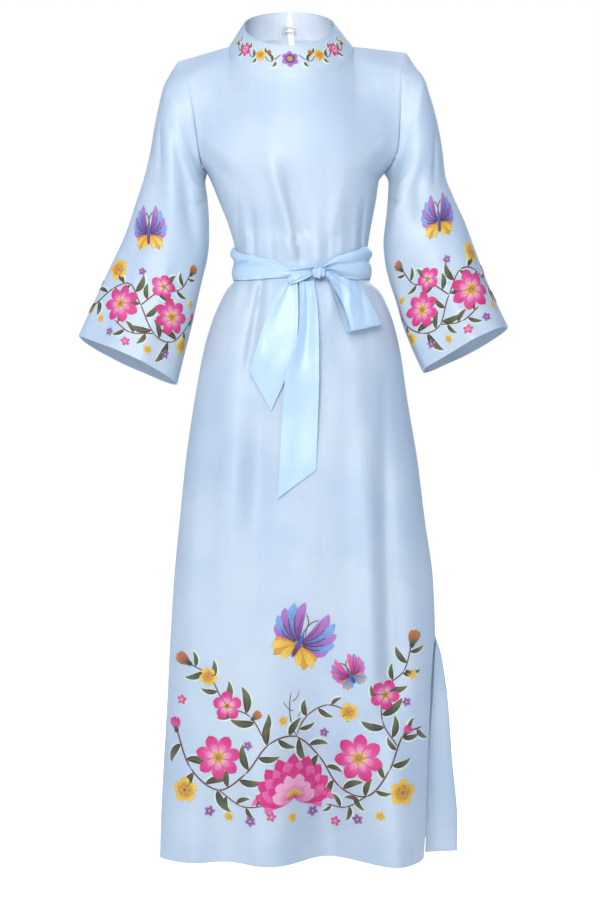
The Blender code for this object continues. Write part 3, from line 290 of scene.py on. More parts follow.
BACK_FOLDS = table(
    FOLD_COLUMNS,
    """
    # drape into the sash
    -.03 -.17 -.016 -.312 .014 .01 .002 .006 .4 .1
    .046 -.19 .04 -.312 .014 .01 .002 .006 .4 .1
    .012 -.22 .014 -.312 .012 .01 -.002 -.005 .4 .1
    # below the sash
    -.04 -.375 -.06 -.62 .012 .022 -.004 -.008 .2 .5
    .06 -.375 .084 -.64 .012 .022 -.004 -.008 .2 .5
    # hem waves
    -.12 -.76 -.13 -1.28 .036 .044 .003 .024 .5 0
    -.04 -.7 -.048 -1.28 .036 .046 -.004 -.034 .5 0
    .046 -.76 .052 -1.28 .036 .046 .003 .022 .5 0
    .13 -.82 .14 -1.28 .032 .042 -.003 -.03 .5 0
    # smaller folds that only this finer cloth has: pleats into the sash
    -.07 -.215 -.064 -.318 .0048 .004 -.0018 -.0044 .4 .1
    -.056 -.225 -.052 -.318 .005 .0042 .0016 .0034 .4 .1
    -.042 -.24 -.04 -.318 .0048 .004 -.0014 -.0036 .4 .1
    .078 -.22 .07 -.318 .0048 .004 -.0018 -.0044 .4 .1
    .094 -.235 .088 -.318 .005 .0042 .0016 .0034 .4 .1
    .026 -.24 .028 -.318 .0048 .004 -.0012 -.0034 .4 .1
    # creases out from the armholes, and across the shoulder blades
    -.142 -.15 -.07 -.222 .008 .014 .0036 .0014 .25 .6
    .158 -.15 .084 -.216 .008 .014 .0036 .0014 .25 .6
    -.07 -.06 -.06 -.15 .016 .024 .0014 .0018 .4 .5
    .08 -.06 .07 -.15 .016 .024 .0014 .0018 .4 .5
    # gathers below the sash
    -.066 -.368 -.078 -.47 .0046 .0085 .0032 .0018 .12 .6
    -.05 -.368 -.06 -.48 .0042 .008 -.0032 -.0018 .12 .6
    -.018 -.368 -.022 -.48 .0046 .0085 .003 .0018 .12 .6
    .026 -.368 .03 -.47 .0042 .008 -.0032 -.0018 .12 .6
    .07 -.368 .08 -.48 .0042 .008 -.003 -.0016 .12 .6
    .088 -.368 .1 -.49 .0046 .0085 .0032 .0018 .12 .6
    # long creases of the skirt
    -.08 -.52 -.09 -.96 .012 .019 .003 .007 .4 .4
    -.03 -.54 -.036 -.98 .011 .018 -.0028 -.0064 .4 .4
    .01 -.56 .004 -1 .014 .021 .0024 .006 .4 .4
    .052 -.54 .056 -1.04 .011 .018 -.0028 -.0064 .4 .4
    .096 -.58 .104 -1.06 .013 .02 .003 .007 .4 .4
    -.14 -.62 -.152 -1.08 .01 .015 -.0024 -.0056 .4 .4
    .168 -.66 .18 -1.12 .011 .016 -.0024 -.006 .4 .3
    .2 -.8 .212 -1.28 .016 .024 .002 .008 .4 0
    """,
)
# Folds of the sleeves: places round the ring (0 armpit, 0.5 shoulder line) and along the arm
SLEEVE_FOLDS = {
    "left": table(
        FOLD_COLUMNS,
        """
    .33 .15 .23 .62 .045 .05 .004 .009 .3 .4
    .24 .2 .13 .6 .04 .045 -.004 -.009 .3 .4
    .35 .55 .36 1 .05 .06 -.003 -.009 .3 0
    .7 .25 .64 .85 .05 .06 .004 .008 .3 .4
    .82 .4 .8 1 .05 .06 -.003 -.009 .3 0
    # smaller folds at the elbow and below the armhole
    .06 .16 .2 .3 .016 .022 .004 .0029 .3 .5
    .05 .24 .18 .4 .014 .02 -.0036 -.0029 .3 .5
    .4 .2 .33 .44 .016 .022 -.0032 -.004 .3 .5
    .21 .62 .2 1 .022 .03 .0018 .0061 .4 0
    .44 .6 .45 1 .022 .03 .0018 .0061 .4 0
    .9 .2 .78 .4 .018 .024 .004 .0032 .3 .5
    .6 .4 .62 .8 .02 .026 -.0029 -.0047 .3 .4
        """,
    ),
    "right": table(
        FOLD_COLUMNS,
        """
    .13 .1 .16 .5 .045 .05 .004 .008 .3 .4
    .26 .3 .27 .62 .04 .045 -.005 -.009 .3 .4
    .14 .55 .17 1 .05 .06 -.003 -.008 .3 0
    .36 .6 .34 1 .05 .07 .003 .008 .3 0
    .73 .25 .68 .85 .05 .06 .004 .008 .3 .4
    .84 .4 .82 1 .05 .06 -.003 -.009 .3 0
    # smaller folds at the elbow and below the armhole
    .06 .14 .21 .28 .016 .022 .004 .0029 .3 .5
    .05 .22 .2 .38 .014 .02 -.004 -.0032 .3 .5
    .4 .26 .34 .5 .016 .022 -.0032 -.004 .3 .5
    .06 .58 .07 1 .022 .03 .0018 .0061 .4 0
    .25 .62 .26 1 .022 .03 .0018 .0065 .4 0
    .91 .2 .79 .4 .018 .024 .004 .0032 .3 .5
    .61 .4 .6 .8 .02 .026 -.0029 -.0047 .3 .4
        """,
    ),
}

# Sash: the band's upper and lower edge at places across the front, its section as clearances from
# the dress at shares of its height, and where its two ends lie behind the knot
SASH_EDGE = table(
    "x top bottom",
    """
    -.089 -.316 -.369
    -.081 -.327 -.373
    -.056 -.3363 -.3748
    -.021 -.3455 -.3735
    .002 -.355 -.371
    .018 -.354 -.369
    .034 -.3525 -.3664
    .048 -.3535 -.362
    .059 -.346 -.3635
    .073 -.337 -.3692
    .097 -.3275 -.3738
    .118 -.318 -.369
    """,
)
SASH_TOP_Z = -0.3150
SASH_BOTTOM_Z = -0.3690
SASH_SECTION = table(
    "share out",
    """
    0 .0022
    .28 .004
    .58 .0023
    .8 .006
    1 .0025
    """,
)
SASH_ENDS = (0.038, 0.047)

# Relief of the band: ridges that fan out from the knot and die away with the distance from it, slow
# folds elsewhere, each as (waves up the band, waves per metre along it, height), and one crease along
# the band at a share of its height that changes with x
FAN = (2.6, 9.0, 0.0019)
FAN_REACH = 0.055
SLOW_FOLDS = (1.35, 3.2, 0.0011)
SLOW_FOLDS_START = 0.2
BAND_FILL = 0.0016
FAR_FROM_KNOT = 0.2
CREASE_X = (-0.09, -0.05, -0.016, 0.006)
CREASE_SHARES = (0.54, 0.84, 0.78, 0.9)
CREASE_SHARE_ELSEWHERE = 0.58
CREASE_DEPTH = 0.0032
CREASE_WIDTH = 0.06
SASH_CLEARANCE = 0.0006
KNOT_X = 0.0435

# Knot and the wrap beside it: half heights and half depths along each, from end to end
KNOT_ENDS = ((0.0334, -0.3655), (0.0539, -0.3640))
KNOT_HALF_HEIGHT = 0.0086
KNOT_HALF_DEPTH = 0.0078
KNOT_BACK_AHEAD = 0.0030
WRAP_ENDS = ((-0.0040, -0.3785), (0.0335, -0.3655))
WRAP_HALF_HEIGHT = (0.0075, 0.0040)
WRAP_HALF_DEPTH = (0.0042, 0.0036)
WRAP_BACK_AHEAD = 0.0052
BLOCK_SQUARE = 2.6

# Rolls: rings and sides of their grid, how square each one's ends are, and the folds that wind round
# it (how many round, turns along, height)
ROLL_GRID = (40, 72)
KNOT_END_SQUARE = 4.4
KNOT_FOLDS = ((1, 2.6, 0.0010), (2, 1.4, 0.0006), (4, 0.5, 0.0004))
WRAP_END_SQUARE = 3.0
WRAP_FOLDS = ((4, 0.25, 0.0010), (7, 0.4, 0.0005))

# Tails: left and right edges of each row, how far the row hangs in front of the skirt, and its fold
TAIL_COLUMNS = "share left_x left_z right_x right_z ahead fold"
TAIL_LEFT = table(
    TAIL_COLUMNS,
    """
    0 -.0075 -.376 .01 -.3755 .0068 0
    .1 -.0165 -.39 .011 -.392 .0064 .0006
    .25 -.03 -.4165 .012 -.425 .0055 .0012
    .48 -.044 -.456 .009 -.476 .005 .0012
    .74 -.056 -.493 -.006 -.525 .0045 .0008
    1 -.0641 -.5183 -.0303 -.5799 .0024 0
    """,
)
TAIL_RIGHT = table(
    TAIL_COLUMNS,
    """
    0 .0135 -.3785 .0365 -.3785 .0068 0
    .06 .014 -.396 .0385 -.396 .009 .002
    .14 .015 -.4275 .0412 -.42 .0115 .0032
    .3 .007 -.483 .0437 -.476 .012 .0034
    .45 -.0085 -.532 .0437 -.523 .0115 .0024
    .7 -.0149 -.6246 .0415 -.6 .007 .0014
    1 -.0195 -.7139 .039 -.6708 .0026 0
    """,
)
TAIL_LEAST_AHEAD = 0.0021
TAIL_COLUMNS_FINE = 30
TAIL_ROWS_FINE = {"left": 70, "right": 120}
TAIL_CROWDING = 1.25

# Gathers of a tail where it is tied (waves across, start, height, reach), and its slow drift below
# them (waves across, waves along, height)
TAIL_GATHERS = (3.1, 0.15, 0.0011, 0.10)
TAIL_GATHERS_FILL = 0.0004
TAIL_DRIFT = (1.3, 1.1, 0.0006)
TAIL_DRIFT_START = 0.1
TAIL_FREE_FROM = 0.2
TAIL_FREE_TO = 0.15
TAIL_FREE_AT_END = 0.3

# Bow loop: its two edges from the knot to the fold, and half the space between its layers
LOOP = table(
    "share left_x left_z right_x right_z",
    """
    0 .0544 -.368 .0556 -.3625
    .3 .0709 -.3924 .0975 -.379
    .65 .0835 -.4219 .123 -.409
    1 .0943 -.458 .1413 -.4449
    """,
)
LOOP_AHEAD = 0.0138
LOOP_HALF_SPACE = 0.0080
LOOP_FOLD_SHARE = 0.07
LOOP_BACK_SHIFT = 0.0080
LOOP_BACK_SHIFT_OVER = 0.4
LOOP_SWELL_START = 0.26
LOOP_SWELL_OVER = 0.75
LOOP_ROWS_FINE = 48
LOOP_FOLD_FINE = 20
LOOP_COLUMNS_FINE = 34

# Creases of the loop where it is tied (waves across, start, height), how far they reach and how soon
# they begin, and the loop's slight bow across, which ends where the loop folds over
LOOP_CREASES = (2.3, -0.1, 0.0016)
LOOP_CREASES_REACH = 0.28
LOOP_CREASES_FROM = 0.06
LOOP_BOW = 0.0010
LOOP_BOW_FROM = 0.5
LOOP_FACING_FROM = 0.3

# Facings: the turned bands inside the back slit
FACING_SHARE = 0.86
FACING_WALL = 0.0010
FACING_CLEARANCE = 0.0005
FACING_ROWS = (24, 12)
FACING_COLUMNS = 8

# Hooks and eyes of wire inside the collar: their middle heights, how deep they lie, and the wire
HOOK_HEIGHTS = (0.0487, 0.0405)
HOOK_Y = 0.0632
WIRE_RADIUS = 0.00045
WIRE_SIDES = 10
WIRE_STEPS = 6
EYE_BEHIND_HOOK = 0.0011
WIRE_ROUGHNESS = 0.32
WIRE_MARKS = 1800.0
WIRE_MARK_HEIGHT = 0.00001

# Rows and columns of the fine grids, and the neck's share of a face's top edge
BODY_ROW_STEP = 0.0042
FRONT_COLUMNS = 56
BACK_COLUMNS = 55
SLIT_DRAWS_COLUMNS = 3.0  # how many columns beside the slit follow its edge
TOP_ROWS = 54
NECK_SHARE = 9 / 14
BACK_NECK_SHARE = 6 / 11
SLEEVE_ROWS = 110
SLEEVE_COLUMNS = 136
FLAT_BELOW_ARMHOLE = 1 / 6  # the share of a sleeve over which its folds grow to their full height
COLLAR_ROWS = 14
COLLAR_COLUMNS = {"front": 72, "back": 30}
SASH_ROWS = 26
SASH_STATIONS = (64, 84)

# Both sides, as +1 and -1; and the pieces whose inner face shows the same satin as the outer one. The other
# pieces' inner faces get a lining painted much paler than the satin: painted light inside the neck
SIDES = ((1, "right"), (-1, "left"))
SAME_INSIDE = ("front_panel", "sleeve_right", "sleeve_left")

# Sewn seams pull the cloth in a little. Rows of stitches run this far in from an edge
SEAM_DIP = 0.0005
SEAM_DIP_WIDTH = 0.0022
HEM_STITCH = 0.022
CUFF_STITCH = 0.024
SASH_STITCH = 0.004
FACING_STITCH = 0.002
COLLAR_SEAM_STITCH = 0.0016
COLLAR_EDGE_STITCH = 0.0022

# Settings that several nodes share. A wave texture with the scale 2 pi / (20 p) repeats every p metres
SOFT_STEP = {"interpolation_type": "SMOOTHSTEP"}
SINE_BANDS = {"wave_type": "BANDS", "wave_profile": "SIN"}
SHEEN_ROUGHNESS = 0.45

# Satin-faced cloth: its warp floats on the face, so it shines softly and shows faint upright lines.
# The real threads lie 0.12 mm apart. They are drawn 0.9 mm apart, so that they show at all.
DRESS_ROUGHNESS = 0.52
SASH_ROUGHNESS = 0.42
SATIN_SHEEN = 0.12
SATIN_IOR = 1.62
SATIN_SPECULAR = 0.7
WARP_PERIOD = 0.0009
WEFT_PERIOD = 0.0014
STITCH_LENGTH = 0.0032
STITCH_HALF_WIDTH = 0.0008
STITCH_SHADE = 0.45
NEEDLE_HOLE = (0.0002, 0.0006)
PUCKER_WIDTH = 0.016

# Its patterns, as features for each metre (across, up and through where a pattern is stretched), and
# the heights of its relief in metres
DYE_PATCHES = 7.0
DYE_RANGE = (0.40, 0.62)
DYE_STREAKS = (260.0, 7.0, 1.0)
STREAK_SHARE = 0.12
LONG_WRINKLES = (26.0, 6.0, 1.0)
SOFT_WRINKLES = 34.0
PUCKERS = 85.0
WARP_HEIGHT = 0.000014
WEFT_HEIGHT = 0.000010
LONG_WRINKLE_HEIGHT = 0.0008
SOFT_WRINKLE_HEIGHT = 0.00045
PUCKER_HEIGHT = 0.0011
GROOVE_HEIGHT = -0.00025
STITCH_HEIGHT = 0.00022

# Rayon embroidery thread in satin stitch: smooth, bright and shiny along each thread. The real
# threads lie 0.35 mm apart. They are drawn 0.8 mm apart, so that they show.
THREAD_PERIOD = 0.0008
THREAD_TONES = (1500.0, 90.0, 1.0)
TONE_RANGE = (0.30, 0.72)
THREAD_HEIGHT = 0.00009
TONE_HEIGHT = 0.00006
THREAD_ROUGHNESS = 0.38
THREAD_SHEEN = 0.15

# Embroidery. Each patch of satin stitch has a middle line and a half width along it, drawn flat in
# metres, and is laid on the cloth afterwards. The motifs are generic garden flowers, leaves and
# butterflies of this part's own drawing.
PATCH_STEPS = 11
PATCH_ACROSS = 7
PATCH_HEIGHT = 0.0005
LAYER_HEIGHT = 0.00018
PATCH_LIFT = 0.0001
PATCH_SINK = 0.0002
FULL_DOME_HALF_WIDTH = 0.002
ACROSS_SLANT = 0.7
ALONG_SLANT = 0.15
THREAD_SHIFT = 0.013

PINK, ROSE, BLUSH = "DB2E7C", "EA6FA8", "F6B9D3"
GOLD, LEMON = "E0A526", "F3CF5E"
VIOLET, LILAC = "7A3F93", "B57CC0"
WINE, BLUE, SKY = "6B1E3A", "3E6DB8", "86ABDD"
LEAF, MOSS, HALO = "26382C", "5E7350", "DCE9DA"
RUST, BARK, AMBER = "9C4A2B", "6E4634", "C77B3C"
ROSY, GOLDEN, VIOLETS, RUSTY = (ROSE, PINK), (GOLD, LEMON), (VIOLET, LILAC), (RUST, AMBER)
GOLD_FLOWER = (GOLDEN, (AMBER, GOLD))

# Camera, stage and lights (watts)
CAMERA_PLACE = (0.0144, -3.2, -0.64)
LENS = 80
SENSOR = 36
FLOOR_Z = -1.36
FLOOR_REACH = 60.0
WORLD_LIGHT = 0.45
FLOOR_GLOW = 0.30
FLOOR_SEEN = 0.85
KEY_LIGHT = 49
LEFT_LIGHT = 9
TOP_LIGHT = 24
BACK_LIGHT = 42


def cubic(first, last, slope_first, slope_last, s):
    """A cubic curve from first at s = 0 to last at s = 1, with these slopes at its ends."""
    return (
        first * (1 + 2 * s) * (1 - s) ** 2
        + last * s * s * (3 - 2 * s)
        + slope_first * s * (1 - s) ** 2
        - slope_last * s * s * (1 - s)
    )


def between(knots, values, at):
    """A smooth curve through the values at rising knots, with no swing past them: cubic pieces."""
    more = (1,) * (values.ndim - 1)
    step = np.diff(knots).reshape(-1, *more)
    rise = np.diff(values, axis=0) / step
    turn = rise[1:] * rise[:-1]
    inner = np.where(turn > 0, 2 * turn / np.where(turn > 0, rise[1:] + rise[:-1], 1), 0)
    slope = np.concatenate([rise[:1], inner, rise[-1:]])
    at = np.clip(at, knots[0], knots[-1])
    i = np.clip(np.searchsorted(knots, at, side="right") - 1, 0, len(knots) - 2)
    long = step[i]
    s = (at - knots[i]).reshape(at.shape + more) / long
    return cubic(values[i], values[i + 1], slope[i] * long, slope[i + 1] * long, s)


def read(columns, name, at):
    """A named column of a table, as a smooth curve over the table's first column."""
    return between(next(iter(columns.values())), columns[name], at)


def ease(s):
    """0 up to s = 0, 1 from s = 1, and a soft step between."""
    s = np.clip(s, 0, 1)
    return s * s * (3 - 2 * s)


def fold_height(folds, x, z):
    """Sum of the folds at (x, z): each is a bell across its line, and fades at its ends."""
    total = np.zeros(np.broadcast(x, z).shape)
    for k in range(len(folds["top_x"])):
        fold = {name: values[k] for name, values in folds.items()}
        share = (z - fold["top_z"]) / (fold["foot_z"] - fold["top_z"])
        middle = fold["top_x"] + (fold["foot_x"] - fold["top_x"]) * share
        along = np.clip(share, 0, 1)
        width = fold["top_width"] + (fold["foot_width"] - fold["top_width"]) * along
        height = fold["top_height"] + (fold["foot_height"] - fold["top_height"]) * along
        fade = ease(share / fold["fade_in"])
        if fold["fade_out"] > 0:
            fade = fade * ease((1 - share) / fold["fade_out"])
        total += height * fade * np.exp(-(((x - middle) / width) ** 2))
    return total


def uneven(x, z):
    """Slow unevenness of worn cloth: a sum of slanted sine waves 60 to 190 mm long, within 2 mm."""
    return WAVE_HEIGHT * sum(share * np.sin(a * x + b * z + start) for a, b, start, share in WAVES)


def power(value, square):
    """The value to the power that makes an ellipse as square as stated, with its sign kept."""
    return np.sign(value) * np.abs(value) ** (2 / square)


def front_below(f, z):
    """Front below the armpit: a half ring, f from -1 (left side) to 1 (right side)."""
    left, right = read(FRONT, "left", z), read(FRONT, "right", z)
    square = read(FRONT, "square", z)
    turn = f * np.pi / 2
    edge = np.where(f < 0, read(FRONT, "left_y", z), read(FRONT, "right_y", z))
    x = (left + right) / 2 + (right - left) / 2 * power(np.sin(turn), square)
    y = edge - (read(FRONT, "depth", z) + edge) * power(np.cos(turn), square)
    y = y - (fold_height(FRONT_FOLDS, x, z) + uneven(x, z)) * (1 - np.abs(f) ** FOLD_HOLD)
    return np.stack(np.broadcast_arrays(x, y, z), -1)


def back_below(f, z):
    """Back below the armpit; past the slit's top its free edges wrap forwards beyond the side."""
    left, right = read(BACK, "left", z), read(BACK, "right", z)
    square = read(BACK, "square", z)
    wrap = np.where(f < 0, read(BACK, "wrap_left", z), read(BACK, "wrap_right", z))
    turn = f * (np.pi / 2 + np.radians(wrap))
    x = (left + right) / 2 + (right - left) / 2 * power(np.sin(turn), square)
    ahead = np.where(np.cos(turn) < 0, WRAP_DEPTH, read(BACK, "depth", z))
    y = ahead * power(np.cos(turn), square)
    y = y + (fold_height(BACK_FOLDS, x, z) + uneven(z, x)) * (1 - np.abs(f) ** FOLD_HOLD)
    return np.stack(np.broadcast_arrays(x, y, z), -1)


def armhole(side, face, share):
    """Points of one armhole's front or back half, from the armpit to the shoulder tip."""
    hole = ARMHOLE_RIGHT if side > 0 else ARMHOLE_LEFT
    columns = [read(hole, name, share) for name in ("x", face + "_y", "z")]
    return np.stack(np.broadcast_arrays(*columns), -1)


def neck_edge(turn, face):
    """Neck seam: an ellipse in a plane that tilts, turn from -90 to 90 degrees across one face."""
    y, z = NECK_FRONT if face == "front" else NECK_BACK
    x = NECK_HALF_WIDTH * np.sin(turn)
    if face == "back":
        beyond_slit = np.sqrt(NECK_HALF_WIDTH**2 - SLIT_HALF_WIDTH**2) * np.sin(turn)
        x = np.where(turn < 0, -1, 1) * np.hypot(beyond_slit, SLIT_HALF_WIDTH)
    level = NECK_SIDE_Z + (z - NECK_SIDE_Z) * np.cos(turn)
    return np.stack(np.broadcast_arrays(x, y * np.cos(turn), level), -1)


def top_edge(f, face, neck_share):
    """Top edge of a face: the neck seam in the middle and a shoulder seam to each side."""
    side = np.where(f < 0, -1, 1)
    neck = neck_edge(np.clip(f / neck_share, -1, 1) * np.pi / 2, face)
    along = np.clip((np.abs(f) - neck_share) / (1 - neck_share), 0, 1)[..., None]
    tips = np.where(side[..., None] < 0, armhole(-1, face, 1.0), armhole(1, face, 1.0))
    return neck + (tips - neck) * along


def softened_top(f, t, face, neck_share):
    """The top edge as a line at t feels it: exact at the top, averaged over its surroundings below."""
    reach = CORNER_FADE * (1 - t)
    places = [np.clip(f + reach * step, -1, 1) for step in np.linspace(-1, 1, CORNER_SAMPLES)]
    return sum(top_edge(place, face, neck_share) for place in places) / CORNER_SAMPLES


def above(f, t, face, neck_share):
    """A face above the armpit: curves from the ring at the armpit to the top edge, t from 0 to 1.

    Each curve leaves the ring upright and reaches the top edge leaning back over the shoulder, and
    near the sides the surface is drawn to the armhole.
    """
    f, t = np.broadcast_arrays(f, t)
    below = front_below if face == "front" else back_below
    start = below(f, np.full(f.shape, ARMPIT_Z))
    end = softened_top(f, t, face, neck_share)
    away = -1.0 if face == "front" else 1.0
    shoulder = ease((np.abs(f) - SHOULDER_FROM * neck_share) / (SHOULDER_OVER * neck_share))
    rise = (end - start)[..., 2]
    leave = np.stack([0 * f, away * LEAVE_OUT * (1 - np.abs(f)), LEAVE_UP * rise], -1)
    reach_y = -away * (REACH_BACK[0] + REACH_BACK[1] * shoulder)
    reach_z = REACH_UP[0] + REACH_UP[1] * shoulder
    reach = np.stack([0 * f, reach_y, reach_z], -1)
    points = cubic(start, end, leave, reach, t[..., None])
    side = np.where(f < 0, -1.0, 1.0)
    edge_start = below(side, np.full(f.shape, ARMPIT_Z))
    edge_end = softened_top(side, t, face, neck_share)
    edge_rise = (edge_end - edge_start)[..., 2]
    edge_leave = np.stack([0 * f, 0 * f, LEAVE_UP * edge_rise], -1)
    edge_reach = np.stack([0 * f, -away * sum(REACH_BACK) + 0 * f, sum(REACH_UP) + 0 * f], -1)
    plain_edge = cubic(edge_start, edge_end, edge_leave, edge_reach, t[..., None])
    real_edge = np.where(side[..., None] < 0, armhole(-1, face, t), armhole(1, face, t))
    points = points + (real_edge - plain_edge) * np.abs(f)[..., None] ** ARMHOLE_HOLD
    if face == "front":
        folds = fold_height(FRONT_FOLDS, points[..., 0], points[..., 2])
        at_ring = fold_height(FRONT_FOLDS, start[..., 0], start[..., 2])
        points[..., 1] -= (folds - at_ring * (1 - t)) * (1 - np.abs(f) ** FOLD_HOLD)
    return points


def wall_grid(points, closed):
    """Lengths along a grid of cloth, as on its flat cut: across from the middle column, up from row 0."""
    across_step = np.linalg.norm(np.diff(points, axis=1), axis=-1)
    across = np.concatenate([np.zeros((len(points), 1)), np.cumsum(across_step, axis=1)], axis=1)
    if not closed:
        across = across - across[:, across.shape[1] // 2, None]
    up_step = np.linalg.norm(np.diff(points, axis=0), axis=-1)
    up = np.concatenate([np.zeros((1, points.shape[1])), np.cumsum(up_step, axis=0)])
    return across, up


def unit(vectors):
    """The vectors at length 1."""
    return vectors / np.maximum(np.linalg.norm(vectors, axis=-1, keepdims=True), 1e-12)


def normals_of(grid, closed, turned):
    """Directions out of the cloth: the cross product of the steps across and up the grid."""
    if closed:
        across = np.roll(grid, -1, axis=1) - np.roll(grid, 1, axis=1)
    else:
        across = np.gradient(grid, axis=1)
    normal = unit(np.cross(across, np.gradient(grid, axis=0)))
    return -normal if turned else normal


def add_mesh(name, points, faces, materials, attributes, sharp=50):
    """A mesh object at the origin that rides on the body, with its attributes: uv pairs and numbers."""
    mesh = bpy.data.meshes.new(name)
    mesh.from_pydata(points, [], faces)
    for material in materials:
        mesh.materials.append(material)
    loops = np.empty(len(mesh.loops), np.int32)
    mesh.loops.foreach_get("vertex_index", loops)
    for label, values in attributes.items():
        if label == "uv":
            layer = mesh.uv_layers.new(name="uv")
            layer.data.foreach_set("uv", values[loops].astype(np.float32).ravel())
        elif values.ndim == 2:
            layer = mesh.color_attributes.new(label, "FLOAT_COLOR", "POINT")
            with_alpha = np.concatenate([values, np.ones((len(values), 1))], axis=1)
            layer.data.foreach_set("color", with_alpha.astype(np.float32).ravel())
        else:
            layer = mesh.attributes.new(label, "FLOAT", "POINT")
            layer.data.foreach_set("value", values.astype(np.float32))
    mesh.shade_smooth()
    mesh.set_sharp_from_angle(angle=np.radians(sharp))
    piece = bpy.data.objects.new(name, mesh)
    bpy.context.scene.collection.objects.link(piece)
    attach(piece, "root")
    return piece


def wall_faces(rows, columns, closed, turned):
    """Quads of a closed wall: the outer grid, the inner grid turned round, and the rims between them."""
    number = np.arange(rows * columns).reshape(rows, columns)
    if closed:
        number = np.concatenate([number, number[:, :1]], axis=1)
    inside = rows * columns
    cells = np.stack([number[:-1, :-1], number[:-1, 1:], number[1:, 1:], number[1:, :-1]], -1).reshape(-1, 4)
    rims = [(number[0, :-1], number[0, 1:]), (number[-1, 1:], number[-1, :-1])]
    if not closed:
        rims += [(number[1:, 0], number[:-1, 0]), (number[:-1, -1], number[1:, -1])]
    faces = [cells, cells[:, ::-1] + inside]
    faces += [np.stack([b, a, a + inside, b + inside], -1) for a, b in rims]
    faces = np.concatenate(faces)
    return faces[:, ::-1] if turned else faces


def add_wall(name, cloth, wall, material, inside=None):
    """A closed wall of cloth from its outer grid, with its flat lengths and distances to its edges.

    Where a second material is given, the inner face has it.
    """
    outer, normal, closed = cloth["outer"], cloth["normal"], cloth["closed"]
    rows, columns = outer.shape[:2]
    points = np.concatenate([outer.reshape(-1, 3), (outer - normal * wall).reshape(-1, 3)])
    faces = wall_faces(rows, columns, closed, cloth["turned"])
    across, up = wall_grid(outer, closed)
    flat = np.stack([across, up], -1).reshape(-1, 2)
    attributes = {"uv": np.concatenate([flat, flat])}
    for label in ("stitch", "seam"):
        values = cloth.get(label, np.full(outer.shape[:2], 1.0)).ravel()
        attributes[label] = np.concatenate([values, values])
    piece = add_mesh(name, points, faces, [material, inside or material], attributes)
    count = (rows - 1) * (columns if closed else columns - 1)
    of_inside = np.zeros(len(faces), np.int32)
    of_inside[count : 2 * count] = 1
    piece.data.polygons.foreach_set("material_index", of_inside)
    return piece


def lay(cloth, row, column, out):
    """Points on a grid of cloth at rows and columns, moved out of it, by blending the four near points."""
    grid, normal = cloth["outer"], cloth["normal"]
    if cloth["closed"]:
        grid = np.concatenate([grid, grid[:, :1]], axis=1)
        normal = np.concatenate([normal, normal[:, :1]], axis=1)
    r = np.clip(np.floor(row).astype(int), 0, grid.shape[0] - 2)
    c = np.clip(np.floor(column).astype(int), 0, grid.shape[1] - 2)
    u, v = (row - r)[..., None], (column - c)[..., None]

    def mix(values):
        low = values[r, c] * (1 - v) + values[r, c + 1] * v
        high = values[r + 1, c] * (1 - v) + values[r + 1, c + 1] * v
        return low * (1 - u) + high * u

    return mix(grid) + unit(mix(normal)) * np.asarray(out)[..., None]


def body_rows():
    """Heights of the rows from hem to armpit."""
    count = int(round((ARMPIT_Z - HEM_Z) / BODY_ROW_STEP))
    return np.linspace(HEM_Z, ARMPIT_Z, count + 1)


def face_cloth(f, face, neck_share):
    """A whole face from hem to shoulders: rows go up, columns follow f."""
    rows = body_rows()[:, None]
    shares = (np.arange(1, TOP_ROWS + 1) / TOP_ROWS)[:, None]
    below = front_below if face == "front" else back_below
    low = below(f[None, :] + 0 * rows, rows + 0 * f[None, :])
    high = above(f[None, :], shares, face, neck_share)
    return np.concatenate([low, high])


def edge_distances(cloth):
    """Distance of each point to each edge by name, along the cloth."""
    across, up = wall_grid(cloth["outer"], cloth["closed"])
    return {
        "foot": up - up[:1],
        "top": up[-1:] - up,
        "first": across - across[:, :1],
        "last": across[:, -1:] - across,
    }


def seam_distances(cloth, sides):
    """Distance of each point to the nearest of the named edges, along the cloth."""
    far = edge_distances(cloth)
    return np.min([far[side] for side in sides], axis=0)


def dip_at_seams(cloth, sides):
    """Lowers the cloth a little along its seams, as a sewn seam pulls it in."""
    cloth["seam"] = seam_distances(cloth, sides)
    dip = SEAM_DIP * np.exp(-((cloth["seam"] / SEAM_DIP_WIDTH) ** 2))
    cloth["outer"] = cloth["outer"] - cloth["normal"] * dip[..., None]


def new_cloth(grid, closed=False, turned=False):
    """A grid of cloth with its directions outwards."""
    return {"outer": grid, "normal": normals_of(grid, closed, turned), "closed": closed, "turned": turned}


def back_half_cloth(side):
    """One back panel: from its side seam to the middle, with the neck slit open at the top."""
    f = side * (np.arange(BACK_COLUMNS + 1) / BACK_COLUMNS)
    grid = face_cloth(f, "back", BACK_NECK_SHARE)
    last_low = len(grid) - TOP_ROWS - 1
    share = np.clip(np.arange(len(grid)) - last_low, 0, None) / TOP_ROWS
    open_by = SLIT_HALF_WIDTH * ease((share - 1 + BACK_SLIT_SHARE) / BACK_SLIT_SHARE)
    middle = np.where(share > 0, grid[last_low, 0, 0] * (1 - share), grid[:, 0, 0])
    shift = middle + side * open_by - grid[:, 0, 0]
    near_slit = np.exp(-((np.arange(BACK_COLUMNS + 1) / SLIT_DRAWS_COLUMNS) ** 2))
    grid[..., 0] += shift[:, None] * near_slit[None, :]
    return grid if side < 0 else grid[:, ::-1]


